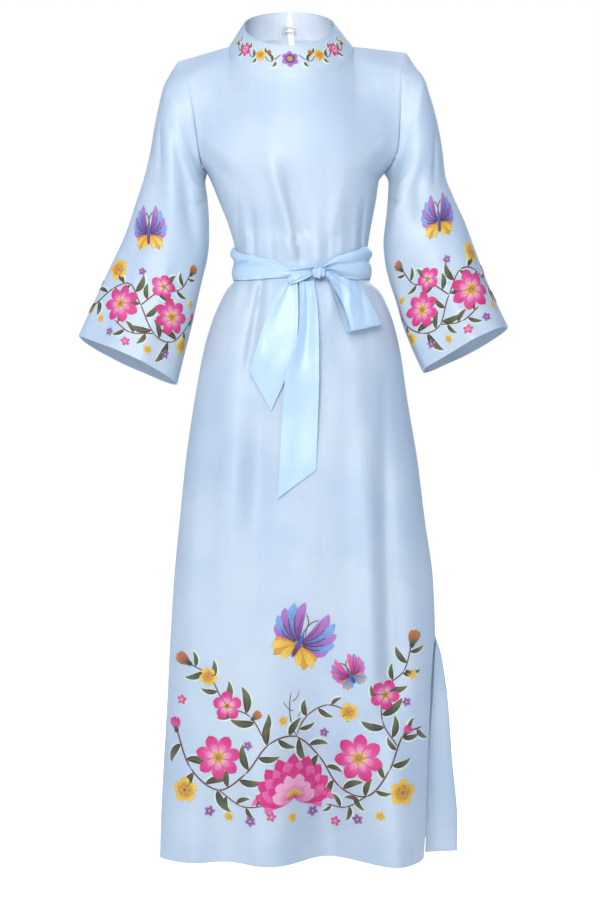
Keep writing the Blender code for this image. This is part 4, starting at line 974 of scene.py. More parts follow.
def sleeve_cloth(side):
    """A sleeve: the armhole's own line, then elliptical rings down to the cuff, and its folds."""
    rings = SLEEVE_RIGHT if side > 0 else SLEEVE_LEFT
    half = SLEEVE_COLUMNS // 2
    share = np.arange(half + 1) / half
    hole = np.concatenate([armhole(side, "front", share), armhole(side, "back", share[-2:0:-1])])
    t = np.concatenate([share, share[-2:0:-1]])
    face = np.where(np.arange(len(t)) <= half, -1.0, 1.0)
    across = (1 - np.cos(np.pi * t)) / 2
    bulge = np.sin(np.pi * t)
    ring = {name: values[:, None] for name, values in rings.items()}
    depth = np.where(face < 0, ring["front"], ring["back"])
    x = ring["inner_x"] + (ring["outer_x"] - ring["inner_x"]) * across + ring["bow"] * bulge
    z = ring["inner_z"] + (ring["outer_z"] - ring["inner_z"]) * across - face * ring["rise"] * bulge
    loops = np.concatenate([hole[None], np.stack([x, face * depth * bulge, z], -1)])
    along = np.linspace(0, 1, SLEEVE_ROWS + 1)
    grid = between(np.arange(len(loops), dtype=float), loops, along * (len(loops) - 1))
    outward = unit(grid - grid.mean(axis=1, keepdims=True))
    place = (np.arange(len(t)) / len(t))[None, :]
    folds = SLEEVE_FOLDS["right" if side > 0 else "left"]
    height = fold_height(folds, place, along[:, None] + 0 * place)
    height = height * ease(along / FLAT_BELOW_ARMHOLE)[:, None]
    return grid + outward * height[..., None]


def collar_cloth():
    """Stand collar: from the left of the back slit, round the front, to the slit's right."""
    back = np.linspace(0, np.pi / 2, COLLAR_COLUMNS["back"] + 1)
    front = np.linspace(-np.pi / 2, np.pi / 2, COLLAR_COLUMNS["front"] + 1)
    share = np.linspace(0, 1, COLLAR_ROWS + 1)[:, None, None]
    lean = share + COLLAR_BOW * np.sin(np.pi * share)
    pieces = []
    for turn, face in ((-back, "back"), (front, "front"), (back[::-1], "back")):
        base = neck_edge(turn, face)
        y, z = COLLAR_TOP_FRONT if face == "front" else COLLAR_TOP_BACK
        top_x = COLLAR_TOP_MIDDLE_X + COLLAR_TOP_HALF_WIDTH * np.sin(turn)
        if face == "back":
            side = np.sign(turn.sum())
            base[..., 0] = side * np.abs(base[..., 0])
            gap = np.maximum(np.abs(COLLAR_TOP_HALF_WIDTH * np.sin(turn)), SLIT_HALF_WIDTH)
            top_x = COLLAR_TOP_MIDDLE_X + side * gap
        top_z = COLLAR_TOP_SIDE_Z + (z - COLLAR_TOP_SIDE_Z) * np.cos(turn)
        top = np.stack([top_x, y * np.cos(turn), top_z], -1)
        pieces.append(base[None] + (top - base)[None] * lean)
    return np.concatenate([pieces[0], pieces[1][:, 1:-1], pieces[2]], axis=1)


def linear(colour):
    """An sRGB hex colour as linear red, green and blue."""
    parts = np.array([int(colour[i : i + 2], 16) for i in (0, 2, 4)]) / 255
    return np.where(parts <= 0.04045, parts / 12.92, ((parts + 0.055) / 1.055) ** 2.4)


def input_of(node, name):
    """A node's input by its name, with _ for a space, or by i and its number."""
    return node.inputs[int(name[1:]) if name[1:].isdigit() else name.replace("_", " ")]


def add(tree, kind, settings=None, **links):
    """Adds a node: settings are its properties or the values of inputs, links are sockets for inputs."""
    node = tree.nodes.new(kind)
    for name, value in (settings or {}).items():
        if hasattr(node, name):
            setattr(node, name, value)
        else:
            input_of(node, name).default_value = value
    for name, socket in links.items():
        tree.links.new(socket, input_of(node, name))
    return node


def weighted_sum(tree, parts):
    """The sum of patterns, each times its factor: a chain in which every step adds one of them."""
    total = None
    for socket, factor in parts:
        step = {"operation": "MULTIPLY_ADD", "i1": factor, "i2": 0.0}
        before = {} if total is None else {"i2": total}
        total = add(tree, "ShaderNodeMath", step, i0=socket, **before).outputs["Value"]
    return total


def new_material(name, colour, roughness, sheen):
    """A material with its plain values on the shader's own sockets."""
    material = bpy.data.materials.new(name)
    material.use_nodes = True
    tree = material.node_tree
    shader = tree.nodes["Principled BSDF"]
    shader.inputs["Base Color"].default_value = (*linear(colour), 1)
    shader.inputs["Roughness"].default_value = roughness
    shader.inputs["Sheen Weight"].default_value = sheen
    shader.inputs["Sheen Roughness"].default_value = SHEEN_ROUGHNESS
    return material, tree, shader


def finish_material(tree, shader, base, heights):
    """Gives the shader its colour and its relief: the sum of patterns, each times its height in metres."""
    tree.links.new(base, shader.inputs["Base Color"])
    relief = weighted_sum(tree, heights)
    bump = add(tree, "ShaderNodeBump", {"Strength": 1.0, "Distance": 1.0}, Height=relief)
    tree.links.new(bump.outputs["Normal"], shader.inputs["Normal"])


def satin_cloth(name, colour, shade, roughness):
    """Woven cloth: uneven dye, warp and weft lines, soft wrinkles, puckered seams and rows of stitches."""
    material, tree, shader = new_material(name, colour, roughness, SATIN_SHEEN)
    shader.inputs["IOR"].default_value = SATIN_IOR
    shader.inputs["Specular IOR Level"].default_value = SATIN_SPECULAR
    place = add(tree, "ShaderNodeTexCoord").outputs["Object"]
    flat = add(tree, "ShaderNodeUVMap", {"uv_map": "uv"}).outputs["UV"]
    stitch = add(tree, "ShaderNodeAttribute", {"attribute_name": "stitch"}).outputs["Fac"]
    seam = add(tree, "ShaderNodeAttribute", {"attribute_name": "seam"}).outputs["Fac"]

    # uneven dye in broad patches, with faint streaks up the warp
    stretched = add(tree, "ShaderNodeMapping", {"Scale": DYE_STREAKS}, Vector=flat).outputs["Vector"]
    streaks = add(tree, "ShaderNodeTexNoise", {"Scale": 1.0, "Detail": 2.0}, Vector=stretched).outputs["Fac"]
    dye = add(tree, "ShaderNodeTexNoise", {"Scale": DYE_PATCHES, "Detail": 3.0}, Vector=place).outputs["Fac"]
    tone = weighted_sum(tree, [(dye, 1 - STREAK_SHARE), (streaks, STREAK_SHARE)])
    how = {**SOFT_STEP, "From Min": DYE_RANGE[0], "From Max": DYE_RANGE[1]}
    depth = add(tree, "ShaderNodeMapRange", how, Value=tone).outputs["Result"]
    how = {"data_type": "RGBA", "i6": (*linear(shade), 1), "i7": (*linear(colour), 1)}
    dyed = add(tree, "ShaderNodeMix", how, i0=depth).outputs[2]

    # rows of stitches: dashes along the row, with a needle hole at each end, in a shallow groove
    split = add(tree, "ShaderNodeSeparateXYZ", Vector=flat)
    run = weighted_sum(tree, [(split.outputs["X"], 1.0), (split.outputs["Y"], 1.0)])
    how = {"operation": "PINGPONG", "i1": STITCH_LENGTH / 2}
    back_and_forth = add(tree, "ShaderNodeMath", how, i0=run).outputs["Value"]
    how = {**SOFT_STEP, "From Min": NEEDLE_HOLE[0], "From Max": NEEDLE_HOLE[1]}
    dash = add(tree, "ShaderNodeMapRange", how, Value=back_and_forth).outputs["Result"]
    off_row = add(tree, "ShaderNodeMath", {"operation": "ABSOLUTE"}, i0=stitch).outputs["Value"]
    how = {**SOFT_STEP, "From Min": STITCH_HALF_WIDTH, "From Max": 0.0}
    row = add(tree, "ShaderNodeMapRange", how, Value=off_row).outputs["Result"]
    how = {**SOFT_STEP, "From Min": STITCH_HALF_WIDTH * 3, "From Max": 0.0}
    groove = add(tree, "ShaderNodeMapRange", how, Value=off_row).outputs["Result"]
    sewn = add(tree, "ShaderNodeMath", {"operation": "MULTIPLY"}, i0=row, i1=dash).outputs["Value"]
    faint = weighted_sum(tree, [(row, STITCH_SHADE)])
    how = {"data_type": "RGBA", "i7": (*linear(shade), 1)}
    base = add(tree, "ShaderNodeMix", how, i0=faint, i6=dyed).outputs[2]

    # weave, long and soft wrinkles, and puckers beside the seams
    how = {**SINE_BANDS, "bands_direction": "X", "Scale": 2 * np.pi / (20 * WARP_PERIOD)}
    warp = add(tree, "ShaderNodeTexWave", how, Vector=flat).outputs["Fac"]
    how = {**SINE_BANDS, "bands_direction": "Y", "Scale": 2 * np.pi / (20 * WEFT_PERIOD)}
    weft = add(tree, "ShaderNodeTexWave", how, Vector=flat).outputs["Fac"]
    folded = add(tree, "ShaderNodeMapping", {"Scale": LONG_WRINKLES}, Vector=flat).outputs["Vector"]
    long = add(tree, "ShaderNodeTexNoise", {"Scale": 1.0, "Detail": 1.5}, Vector=folded).outputs["Fac"]
    how = {"Scale": SOFT_WRINKLES, "Detail": 2.0}
    soft = add(tree, "ShaderNodeTexNoise", how, Vector=place).outputs["Fac"]
    how = {**SOFT_STEP, "From Min": PUCKER_WIDTH, "From Max": 0.0}
    near_seam = add(tree, "ShaderNodeMapRange", how, Value=seam).outputs["Result"]
    how = {"Scale": PUCKERS, "Detail": 1.0}
    uneven_seam = add(tree, "ShaderNodeTexNoise", how, Vector=place).outputs["Fac"]
    pucker = add(tree, "ShaderNodeMath", {"operation": "MULTIPLY"}, i0=uneven_seam, i1=near_seam)
    heights = [
        (warp, WARP_HEIGHT),
        (weft, WEFT_HEIGHT),
        (long, LONG_WRINKLE_HEIGHT),
        (soft, SOFT_WRINKLE_HEIGHT),
        (pucker.outputs["Value"], PUCKER_HEIGHT),
        (groove, GROOVE_HEIGHT),
        (sewn, STITCH_HEIGHT),
    ]
    finish_material(tree, shader, base, heights)
    return material


def embroidery_thread(name):
    """Threads side by side in the colours of the piece's own attribute, each a little lighter or darker at
    random, with painted shade between the threads and a painted highlight along each one.
    """
    material, tree, shader = new_material(name, "C04878", THREAD_ROUGHNESS, THREAD_SHEEN)
    flat = add(tree, "ShaderNodeUVMap", {"uv_map": "uv"}).outputs["UV"]
    colour = add(tree, "ShaderNodeAttribute", {"attribute_name": "thread"}).outputs["Color"]
    stretched = add(tree, "ShaderNodeMapping", {"Scale": THREAD_TONES}, Vector=flat).outputs["Vector"]
    tones = add(tree, "ShaderNodeTexNoise", {"Scale": 1.0, "Detail": 1.0}, Vector=stretched).outputs["Fac"]
    how = {**SOFT_STEP, "From Min": TONE_RANGE[0], "From Max": TONE_RANGE[1]}
    shift = add(tree, "ShaderNodeMapRange", how, Value=tones).outputs["Result"]
    how = {**SINE_BANDS, "bands_direction": "X", "Scale": 2 * np.pi / (20 * THREAD_PERIOD)}
    lines = add(tree, "ShaderNodeTexWave", how, Vector=flat).outputs["Fac"]
    how = {"Value": 0.66, "Saturation": 1.08}
    darker = add(tree, "ShaderNodeHueSaturation", how, Color=colour).outputs["Color"]
    how = {"Value": 1.12, "Saturation": 0.98}
    lighter = add(tree, "ShaderNodeHueSaturation", how, Color=colour).outputs["Color"]
    # Painted shade and highlight: the waves that give the threads their relief also make the colour darker
    # between the threads and lighter on their crests; the rest is random tone
    mixed = weighted_sum(tree, [(shift, 0.55), (lines, 0.45)])
    base = add(tree, "ShaderNodeMix", {"data_type": "RGBA"}, i0=mixed, i6=darker, i7=lighter).outputs[2]
    finish_material(tree, shader, base, [(lines, THREAD_HEIGHT), (shift, TONE_HEIGHT)])
    return material


def plated_wire(name):
    """Nickel-plated steel wire of a hook: bright, with faint drawing marks along the wire."""
    material, tree, shader = new_material(name, "A9A8A4", WIRE_ROUGHNESS, 0.0)
    shader.inputs["Metallic"].default_value = 1.0
    place = add(tree, "ShaderNodeTexCoord").outputs["Object"]
    how = {"Scale": WIRE_MARKS, "Detail": 2.0}
    marks = add(tree, "ShaderNodeTexNoise", how, Vector=place).outputs["Fac"]
    how = {"data_type": "RGBA", "i6": (*linear("8E8C88"), 1), "i7": (*linear("BDBBB6"), 1)}
    base = add(tree, "ShaderNodeMix", how, i0=marks).outputs[2]
    finish_material(tree, shader, base, [(marks, WIRE_MARK_HEIGHT)])
    return material


def front_place(x, z):
    """The place f across the front at which its half ring crosses x: front_below's x turned round."""
    left, right = read(FRONT, "left", z), read(FRONT, "right", z)
    share = np.clip((x - (left + right) / 2) / ((right - left) / 2), -1, 1)
    sine = np.sign(share) * np.abs(share) ** (read(FRONT, "square", z) / 2)
    return np.arcsin(sine) / (np.pi / 2)


def front_y(x, z):
    """How deep the front's cloth lies at x and z."""
    return front_below(front_place(x, z), z)[..., 1]


def sash_band_cloth():
    """The band: the dress's own ring at the waist, moved out by its section and by its gathers.

    Towards the knot the band narrows and its folds run together, as ridges that fan out from there.
    """
    share = np.linspace(0, 1, SASH_ROWS + 1)[:, None]
    middle_z = (SASH_TOP_Z + SASH_BOTTOM_Z) / 2
    ends = [front_place(np.array(x), np.array(middle_z)) for x in SASH_ENDS]
    of_front, of_back = SASH_STATIONS
    right = np.linspace(ends[0], 1, of_front)
    back = np.linspace(1, -1, of_back)[1:]
    left = np.linspace(-1, ends[1], of_front)[1:]
    parts = []
    for f, below, in_front in ((right, front_below, 1), (back, back_below, 0), (left, front_below, 1)):
        x = below(f, np.full(f.shape, middle_z))[:, 0]
        top = read(SASH_EDGE, "top", x) if in_front else np.full(x.shape, SASH_TOP_Z)
        bottom = read(SASH_EDGE, "bottom", x) if in_front else np.full(x.shape, SASH_BOTTOM_Z)
        z = bottom + (top - bottom) * share
        grid = below(f[None, :] + 0 * z, z)
        from_knot = np.abs(x - KNOT_X) if in_front else np.full(x.shape, FAR_FROM_KNOT)
        near = np.exp(-from_knot / FAN_REACH)
        roll = read(SASH_SECTION, "out", share) + 0 * x
        on_left = (x < KNOT_X) & bool(in_front)
        crease = np.where(on_left, np.interp(x, CREASE_X, CREASE_SHARES), CREASE_SHARE_ELSEWHERE)
        roll = roll - CREASE_DEPTH * np.exp(-(((share - crease) / CREASE_WIDTH) ** 2))
        fan = np.cos(2 * np.pi * (FAN[0] * share + FAN[1] * from_knot)) * near
        slow = np.cos(2 * np.pi * (SLOW_FOLDS[0] * share + SLOW_FOLDS[1] * x + SLOW_FOLDS_START)) * (1 - near)
        edge = np.sin(np.pi * share) ** 0.5
        parts.append((grid, roll + (FAN[2] * fan + SLOW_FOLDS[2] * slow + BAND_FILL) * edge))
    grid = np.concatenate([part for part, out in parts], axis=1)
    out = np.concatenate([out for part, out in parts], axis=1)
    out = np.maximum(out, CLOTH_WALL + SASH_CLEARANCE)
    normal = normals_of(grid, False, False)
    return new_cloth(grid + normal * out[..., None])


def strip_between(edges, shares, across):
    """Points between the two edges that a table gives: rows follow the shares."""
    left_x, left_z = read(edges, "left_x", shares), read(edges, "left_z", shares)
    right_x, right_z = read(edges, "right_x", shares), read(edges, "right_z", shares)
    x = left_x[:, None] + (right_x - left_x)[:, None] * across[None, :]
    z = left_z[:, None] + (right_z - left_z)[:, None] * across[None, :]
    return x, z


def tail_cloth(edges, rows):
    """A tail: a strip in front of the skirt, with one long fold and small gathers where it is tied."""
    shares = np.linspace(1, 0, rows + 1) ** TAIL_CROWDING
    across = np.linspace(0, 1, TAIL_COLUMNS_FINE + 1)
    x, z = strip_between(edges, shares, across)
    skirt = front_y(x, z)
    ahead = read(edges, "ahead", shares)[:, None]
    fold = read(edges, "fold", shares)[:, None] * np.cos(2 * np.pi * across)[None, :]
    waves, start, height, reach = TAIL_GATHERS
    tied = np.exp(-shares / reach)[:, None]
    gathers = tied * (height * np.cos(2 * np.pi * (waves * across + start)) + TAIL_GATHERS_FILL)[None, :]
    waves, along, height = TAIL_DRIFT
    slant = waves * across[None, :] + along * shares[:, None] + TAIL_DRIFT_START
    drift = height * np.sin(2 * np.pi * slant)
    level = (skirt + skirt.min(axis=1, keepdims=True)) / 2
    free = ease(shares / TAIL_FREE_FROM) * ease((1 - shares) / TAIL_FREE_TO + TAIL_FREE_AT_END)
    y = np.minimum(level - ahead - fold - gathers - drift * free[:, None], skirt - TAIL_LEAST_AHEAD)
    return new_cloth(np.stack([x, y, z], -1))


def loop_cloth():
    """The bow's loop: down the front, round its fold and back up behind, creased where it is tied."""
    down = np.arange(LOOP_ROWS_FINE) / LOOP_ROWS_FINE
    turn = np.pi * np.linspace(0, 1, LOOP_FOLD_FINE + 1)
    straight = 1 - LOOP_FOLD_SHARE
    round_it = straight + LOOP_FOLD_SHARE * np.sin(turn)
    shares = np.concatenate([down * straight, round_it, down[::-1] * straight])
    swell = LOOP_SWELL_START + (1 - LOOP_SWELL_START) * ease(down / LOOP_SWELL_OVER)
    side = np.concatenate([swell, np.cos(turn), -swell[::-1]])
    across = np.linspace(0, 1, LOOP_COLUMNS_FINE + 1)
    x, z = strip_between(LOOP, shares, across)
    shift = LOOP_BACK_SHIFT * (1 - side) / 2 * ease(shares / LOOP_BACK_SHIFT_OVER)
    x = x - shift[:, None] * (1 - across[None, :])
    skirt = front_y(x, z)
    waves, start, height = LOOP_CREASES
    tied = (np.exp(-shares / LOOP_CREASES_REACH) * ease(shares / LOOP_CREASES_FROM))[:, None]
    creases = np.cos(2 * np.pi * (waves * across + start))[None, :] * height * tied
    bow = LOOP_BOW * np.sin(np.pi * across)[None, :] * ease(shares / LOOP_BOW_FROM)[:, None]
    facing = (np.sign(side) * ease(np.abs(side) / LOOP_FACING_FROM))[:, None]
    y = skirt - LOOP_AHEAD - (side * LOOP_HALF_SPACE)[:, None] - (creases + bow) * facing
    return new_cloth(np.stack([x, y, z], -1), turned=True)


def tube_faces(rings, sides):
    """Faces of a tube from one end point (number 0) over its rings to the other (the last number)."""
    number = 1 + np.arange(rings * sides).reshape(rings, sides)
    over = np.roll(number, -1, axis=1)
    quads = np.stack([number[:-1], over[:-1], over[1:], number[1:]], -1).reshape(-1, 4)
    last = rings * sides + 1
    caps = [(0, b, a) for a, b in zip(number[0], over[0])]
    caps += [(last, a, b) for a, b in zip(number[-1], over[-1])]
    return quads.tolist() + caps


def add_roll(name, ends, half_height, half_depth, back_ahead, end_square, folds, material):
    """A squarish roll of gathered cloth between two points of the front, closed at both ends.

    Each ring is an ellipse made squarer; its size swells from nothing at the ends, faster for a
    squarer end, and the folds are waves that wind round it: (how many round, turns along, height).
    """
    rings, sides = ROLL_GRID
    (start_x, start_z), (end_x, end_z) = ends
    slide = (1 - np.cos(np.pi * np.linspace(0, 1, rings + 1))) / 2
    x = start_x + (end_x - start_x) * slide
    z = start_z + (end_z - start_z) * slide
    heights = half_height[0] + (half_height[1] - half_height[0]) * slide
    depths = half_depth[0] + (half_depth[1] - half_depth[0]) * slide
    under = z[:, None] + heights[:, None] * np.array([-1, 0, 1])
    y = front_y(x[:, None] + 0 * under, under).min(axis=1) - back_ahead - depths
    swell = power(np.sin(np.pi * np.linspace(0, 1, rings + 1)), end_square)
    spin = 2 * np.pi * np.arange(sides) / sides
    along = unit(np.array([end_x - start_x, 0, end_z - start_z]))
    up = np.array([-along[2], 0, along[0]])
    relief = np.zeros((rings + 1, sides))
    for count, winds, height in folds:
        relief += height * np.cos(count * spin[None, :] + 2 * np.pi * winds * slide[:, None])
    rise = (heights[:, None] + relief) * swell[:, None] * power(np.sin(spin), BLOCK_SQUARE)
    deep = (depths[:, None] + relief) * swell[:, None] * power(np.cos(spin), BLOCK_SQUARE)
    grid = np.stack([x, y, z], -1)[:, None, :] + up * rise[..., None]
    grid = grid + np.array([0, 1, 0]) * deep[..., None]
    body = grid[1:-1].reshape(-1, 3)
    points = np.concatenate([grid[:1, 0], body, grid[-1:, 0]])
    flat_x = np.repeat(slide[1:-1], sides) * np.hypot(end_x - start_x, end_z - start_z)
    flat_y = np.tile(spin, rings - 1) * np.mean(heights)
    flat = np.stack([flat_x, flat_y], -1)
    flat = np.concatenate([[[0, 0]], flat, [[flat_x.max(), 0]]])
    far = np.full(len(points), 1.0)
    attributes = {"uv": flat, "stitch": far, "seam": far}
    return add_mesh(name, points, tube_faces(rings - 1, sides), [material], attributes)


def patch(start, end, width, bend=0.0, colours=(PINK, PINK), shape="petal", level=1):
    """One blade between two points: its middle line bends sideways by a share of its length."""
    start, end = np.array(start, float), np.array(end, float)
    t = np.linspace(0, 1, PATCH_STEPS)
    along = end - start
    sideways = np.array([-along[1], along[0]])
    line = start + along * t[:, None] + sideways * (bend * 4 * t * (1 - t))[:, None]
    profile = {
        "petal": np.sin(np.pi * t**1.35) ** 0.62,
        "leaf": np.sin(np.pi * t**0.85) ** 0.85,
        "stem": np.minimum(1, 8 * np.sqrt(t * (1 - t) + 0.002)),
        "seed": np.sqrt(np.maximum(4 * t * (1 - t), 0)),
    }[shape]
    return {
        "line": line,
        "half": profile * width / 2,
        "low": linear(colours[0]),
        "high": linear(colours[1]),
        "level": level,
        "across": shape in ("leaf", "stem"),
    }


def heading(angle):
    """The direction at an angle in degrees."""
    return np.array([np.cos(np.radians(angle)), np.sin(np.radians(angle))])


def ray(centre, angle, near, far, width, **how):
    """A patch that points away from a centre at an angle in degrees, from near to far."""
    way = heading(angle)
    centre = np.array(centre, float)
    return patch(centre + way * near, centre + way * far, width, **how)


def vine(points, width, colour=BARK, level=1):
    """A stem through the points, as a smooth curve cut into blades of one width."""
    points = np.array(points, float)
    knots = np.arange(len(points), dtype=float)
    t = np.linspace(0, knots[-1], (len(points) - 1) * (PATCH_STEPS - 1) + 1)
    line = smooth_line(points, t)
    patches = []
    for first in range(0, len(t) - 1, PATCH_STEPS - 1):
        piece = patch((0, 0), (1, 0), width, colours=(colour, colour), shape="stem", level=level)
        piece["line"] = line[first : first + PATCH_STEPS]
        patches.append(piece)
    return patches


def smooth_line(points, t):
    """A curve through the points in order, with each slope taken from the points on both sides."""
    slope = np.gradient(points, axis=0)
    i = np.clip(t.astype(int), 0, len(points) - 2)
    s = (t - i)[:, None]
    return cubic(points[i], points[i + 1], slope[i], slope[i + 1], s)


def leaf(base, angle, length, width, bend=0.15, colours=(LEAF, MOSS), level=2):
    """A leaf: a pale halo under it, the blade, and its midrib."""
    base = np.array(base, float)
    way = heading(angle)
    tip = base + way * length
    shade = dict(bend=bend, shape="leaf")
    return [
        patch(base - way * 0.0015, tip + way * 0.003, width + 0.0045, colours=(HALO, HALO), level=0, **shade),
        patch(base, tip, width, colours=colours, level=level, **shade),
        patch(base, tip - way * length * 0.12, 0.0011, bend, (RUST, RUST), "stem", level + 2),
    ]


def leafy_vine(points, leaves, size, width=0.0019):
    """A vine with leaves in turn on its two sides, smaller towards its end."""
    points = np.array(points, float)
    patches = vine(points, width)
    t = np.linspace(0.35, len(points) - 1.25, leaves)
    at, ahead = smooth_line(points, t), smooth_line(points, t + 0.05)
    course = np.degrees(np.arctan2(*(ahead - at).T[::-1]))
    for k in range(leaves):
        side = 1 if k % 2 else -1
        length = size * (1.12 - 0.45 * k / leaves) * (0.86 + 0.28 * ((k * 7) % 5) / 4)
        patches += leaf(at[k], course[k] + side * (44 + 6 * (k % 3)), length, length * 0.30, 0.12 * side)
    return patches


def blossom(centre, radius, petals=5, turn=0.0, outer=(ROSE, PINK), inner=(BLUSH, ROSE), level=3):
    """An open flower: round petals, a paler ring over them, and a dotted golden middle."""
    patches = []
    for k in range(petals):
        angle = turn + 360 * k / petals
        wide = radius * 3.9 / petals
        patches.append(ray(centre, angle, radius * 0.12, radius, wide, colours=outer, level=level + k % 2))
        patches.append(
            ray(centre, angle, radius * 0.12, radius * 0.62, wide * 0.55, colours=inner, level=level + 3)
        )
    for k in range(petals * 2):
        angle = turn + 180 * (k + 0.5) / petals
        reach = radius * (0.30 if k % 2 else 0.38)
        patches.append(
            ray(centre, angle, radius * 0.04, reach, radius * 0.09, colours=(AMBER, LEMON), level=level + 5)
        )
    return patches


def star(centre, radius, turn, colours, level=3):
    """A small flower of five seeds round a golden dot."""
    patches = []
    for k in range(5):
        angle = turn + 72 * k
        how = dict(colours=colours, shape="seed", level=level)
        patches.append(ray(centre, angle, radius * 0.15, radius, radius * 0.62, **how))
    dot = radius * 0.22
    how = dict(colours=(LEMON, GOLD), shape="seed", level=level + 2)
    patches.append(ray(centre, turn, -dot, dot, dot * 2, **how))
    return patches


def stars(rows, turn):
    """Small flowers from rows of x, z, radius and colours, each turned on from the one before."""
    patches = []
    for k, (x, z, radius, colours) in enumerate(rows):
        patches += star((x, z), radius, turn * k, colours)
    return patches


def bud(base, angle, length, colours, level=3):
    """A bud in its green cup."""
    how = dict(colours=colours, level=level)
    patches = [ray(base, angle + 14 * k, 0, length, length * 0.42, **how) for k in (-1, 1)]
    patches.append(ray(base, angle, 0, length * 1.04, length * 0.40, colours=colours, level=level + 1))
    for side in (-1, 1):
        how = dict(colours=(LEAF, MOSS), shape="leaf", bend=-0.2 * side, level=level + 3)
        patches.append(ray(base, angle + 26 * side, -length * 0.1, length * 0.5, length * 0.2, **how))
    return patches


def lotus(base, radius, level=4):
    """A water lily from the side: fans of pointed petals, the front ones shorter and paler."""
    patches = []
    fans = [
        (9, 84, 1.00, 0.36, (PINK, PINK), 0),
        (8, 74, 0.86, 0.34, (PINK, ROSE), 1.4),
        (7, 62, 0.72, 0.34, (ROSE, PINK), 2.8),
        (6, 78, 0.56, 0.30, (ROSE, BLUSH), 4.2),
        (5, 58, 0.44, 0.28, (PINK, BLUSH), 5.6),
    ]
    for count, spread, reach, width, colours, height in fans:
        for k in range(count):
            lean = spread * (2 * k / (count - 1) - 1)
            long = radius * reach * (1.0 - 0.14 * abs(lean) / spread)
            how = dict(colours=colours, bend=-0.10 * lean / spread, level=level + height + 0.7 * (k % 2))
            patches.append(ray(base, 90 - lean, radius * 0.02, long, radius * width, **how))
    for k in range(9):
        lean = -64 + 16 * k
        how = dict(colours=(AMBER, LEMON), shape="seed", level=level + 7.5)
        patches.append(ray(base, 90 + lean, radius * 0.05, radius * 0.24, radius * 0.055, **how))
    for side in (-1, 1):
        for lean, long in ((98, 0.95), (116, 0.72)):
            how = dict(colours=(PINK, ROSE), bend=0.16 * side, level=level - 1)
            patches.append(ray(base, 90 - side * lean, 0, radius * long, radius * 0.24, **how))
    return patches


def butterfly(centre, size, tilt, wing=(VIOLET, LILAC), tip=(BLUE, SKY), low=(GOLD, LEMON), level=3):
    """A butterfly seen from above: fans of blades as wings on both sides of its body."""
    patches = []
    for side in (-1, 1):
        for k in range(5):
            angle = tilt + side * (18 + 15 * k)
            colours = tip if k % 2 else wing
            long = size * (1.0, 0.98, 0.92, 0.84, 0.72)[k]
            how = dict(colours=colours, bend=0.10 * side, level=level + 4 - k)
            patches.append(ray(centre, angle, size * 0.08, long, size * 0.25, **how))
            how = dict(colours=(WINE, WINE), bend=0.10 * side, shape="stem", level=level + 6)
            patches.append(ray(centre, angle, size * 0.10, long * 0.72, size * 0.022, **how))
        for k in range(4):
            angle = tilt + side * (106 + 17 * k)
            long = size * (0.58, 0.66, 0.64, 0.52)[k]
            how = dict(colours=low if k % 2 else (AMBER, GOLD), bend=-0.08 * side, level=level + k % 2)
            patches.append(ray(centre, angle, size * 0.06, long, size * 0.20, **how))
        how = dict(colours=(BARK, BARK), bend=-0.22 * side, shape="stem", level=level + 2)
        patches.append(ray(centre, tilt + side * 13, size * 0.26, size * 0.74, 0.0012, **how))
    how = dict(colours=(WINE, BLUE), shape="seed", level=level + 8)
    patches.append(ray(centre, tilt, -size * 0.34, size * 0.30, size * 0.11, **how))
    return patches


def grasses(base, angle, reach, colour=BARK, level=1):
    """A bare twig with three little arms."""
    how = dict(colours=(colour, colour), shape="stem", bend=0.08, level=level)
    patches = [ray(base, angle, 0, reach, 0.0015, **how)]
    way = heading(angle)
    for k, side in enumerate((-1, 1, -1)):
        place = np.array(base, float) + way * reach * (0.35 + 0.22 * k)
        how = dict(colours=(colour, colour), shape="stem", bend=0.1 * side, level=level)
        patches.append(ray(place, angle + side * 38, 0, reach * 0.30, 0.0012, **how))
    return patches


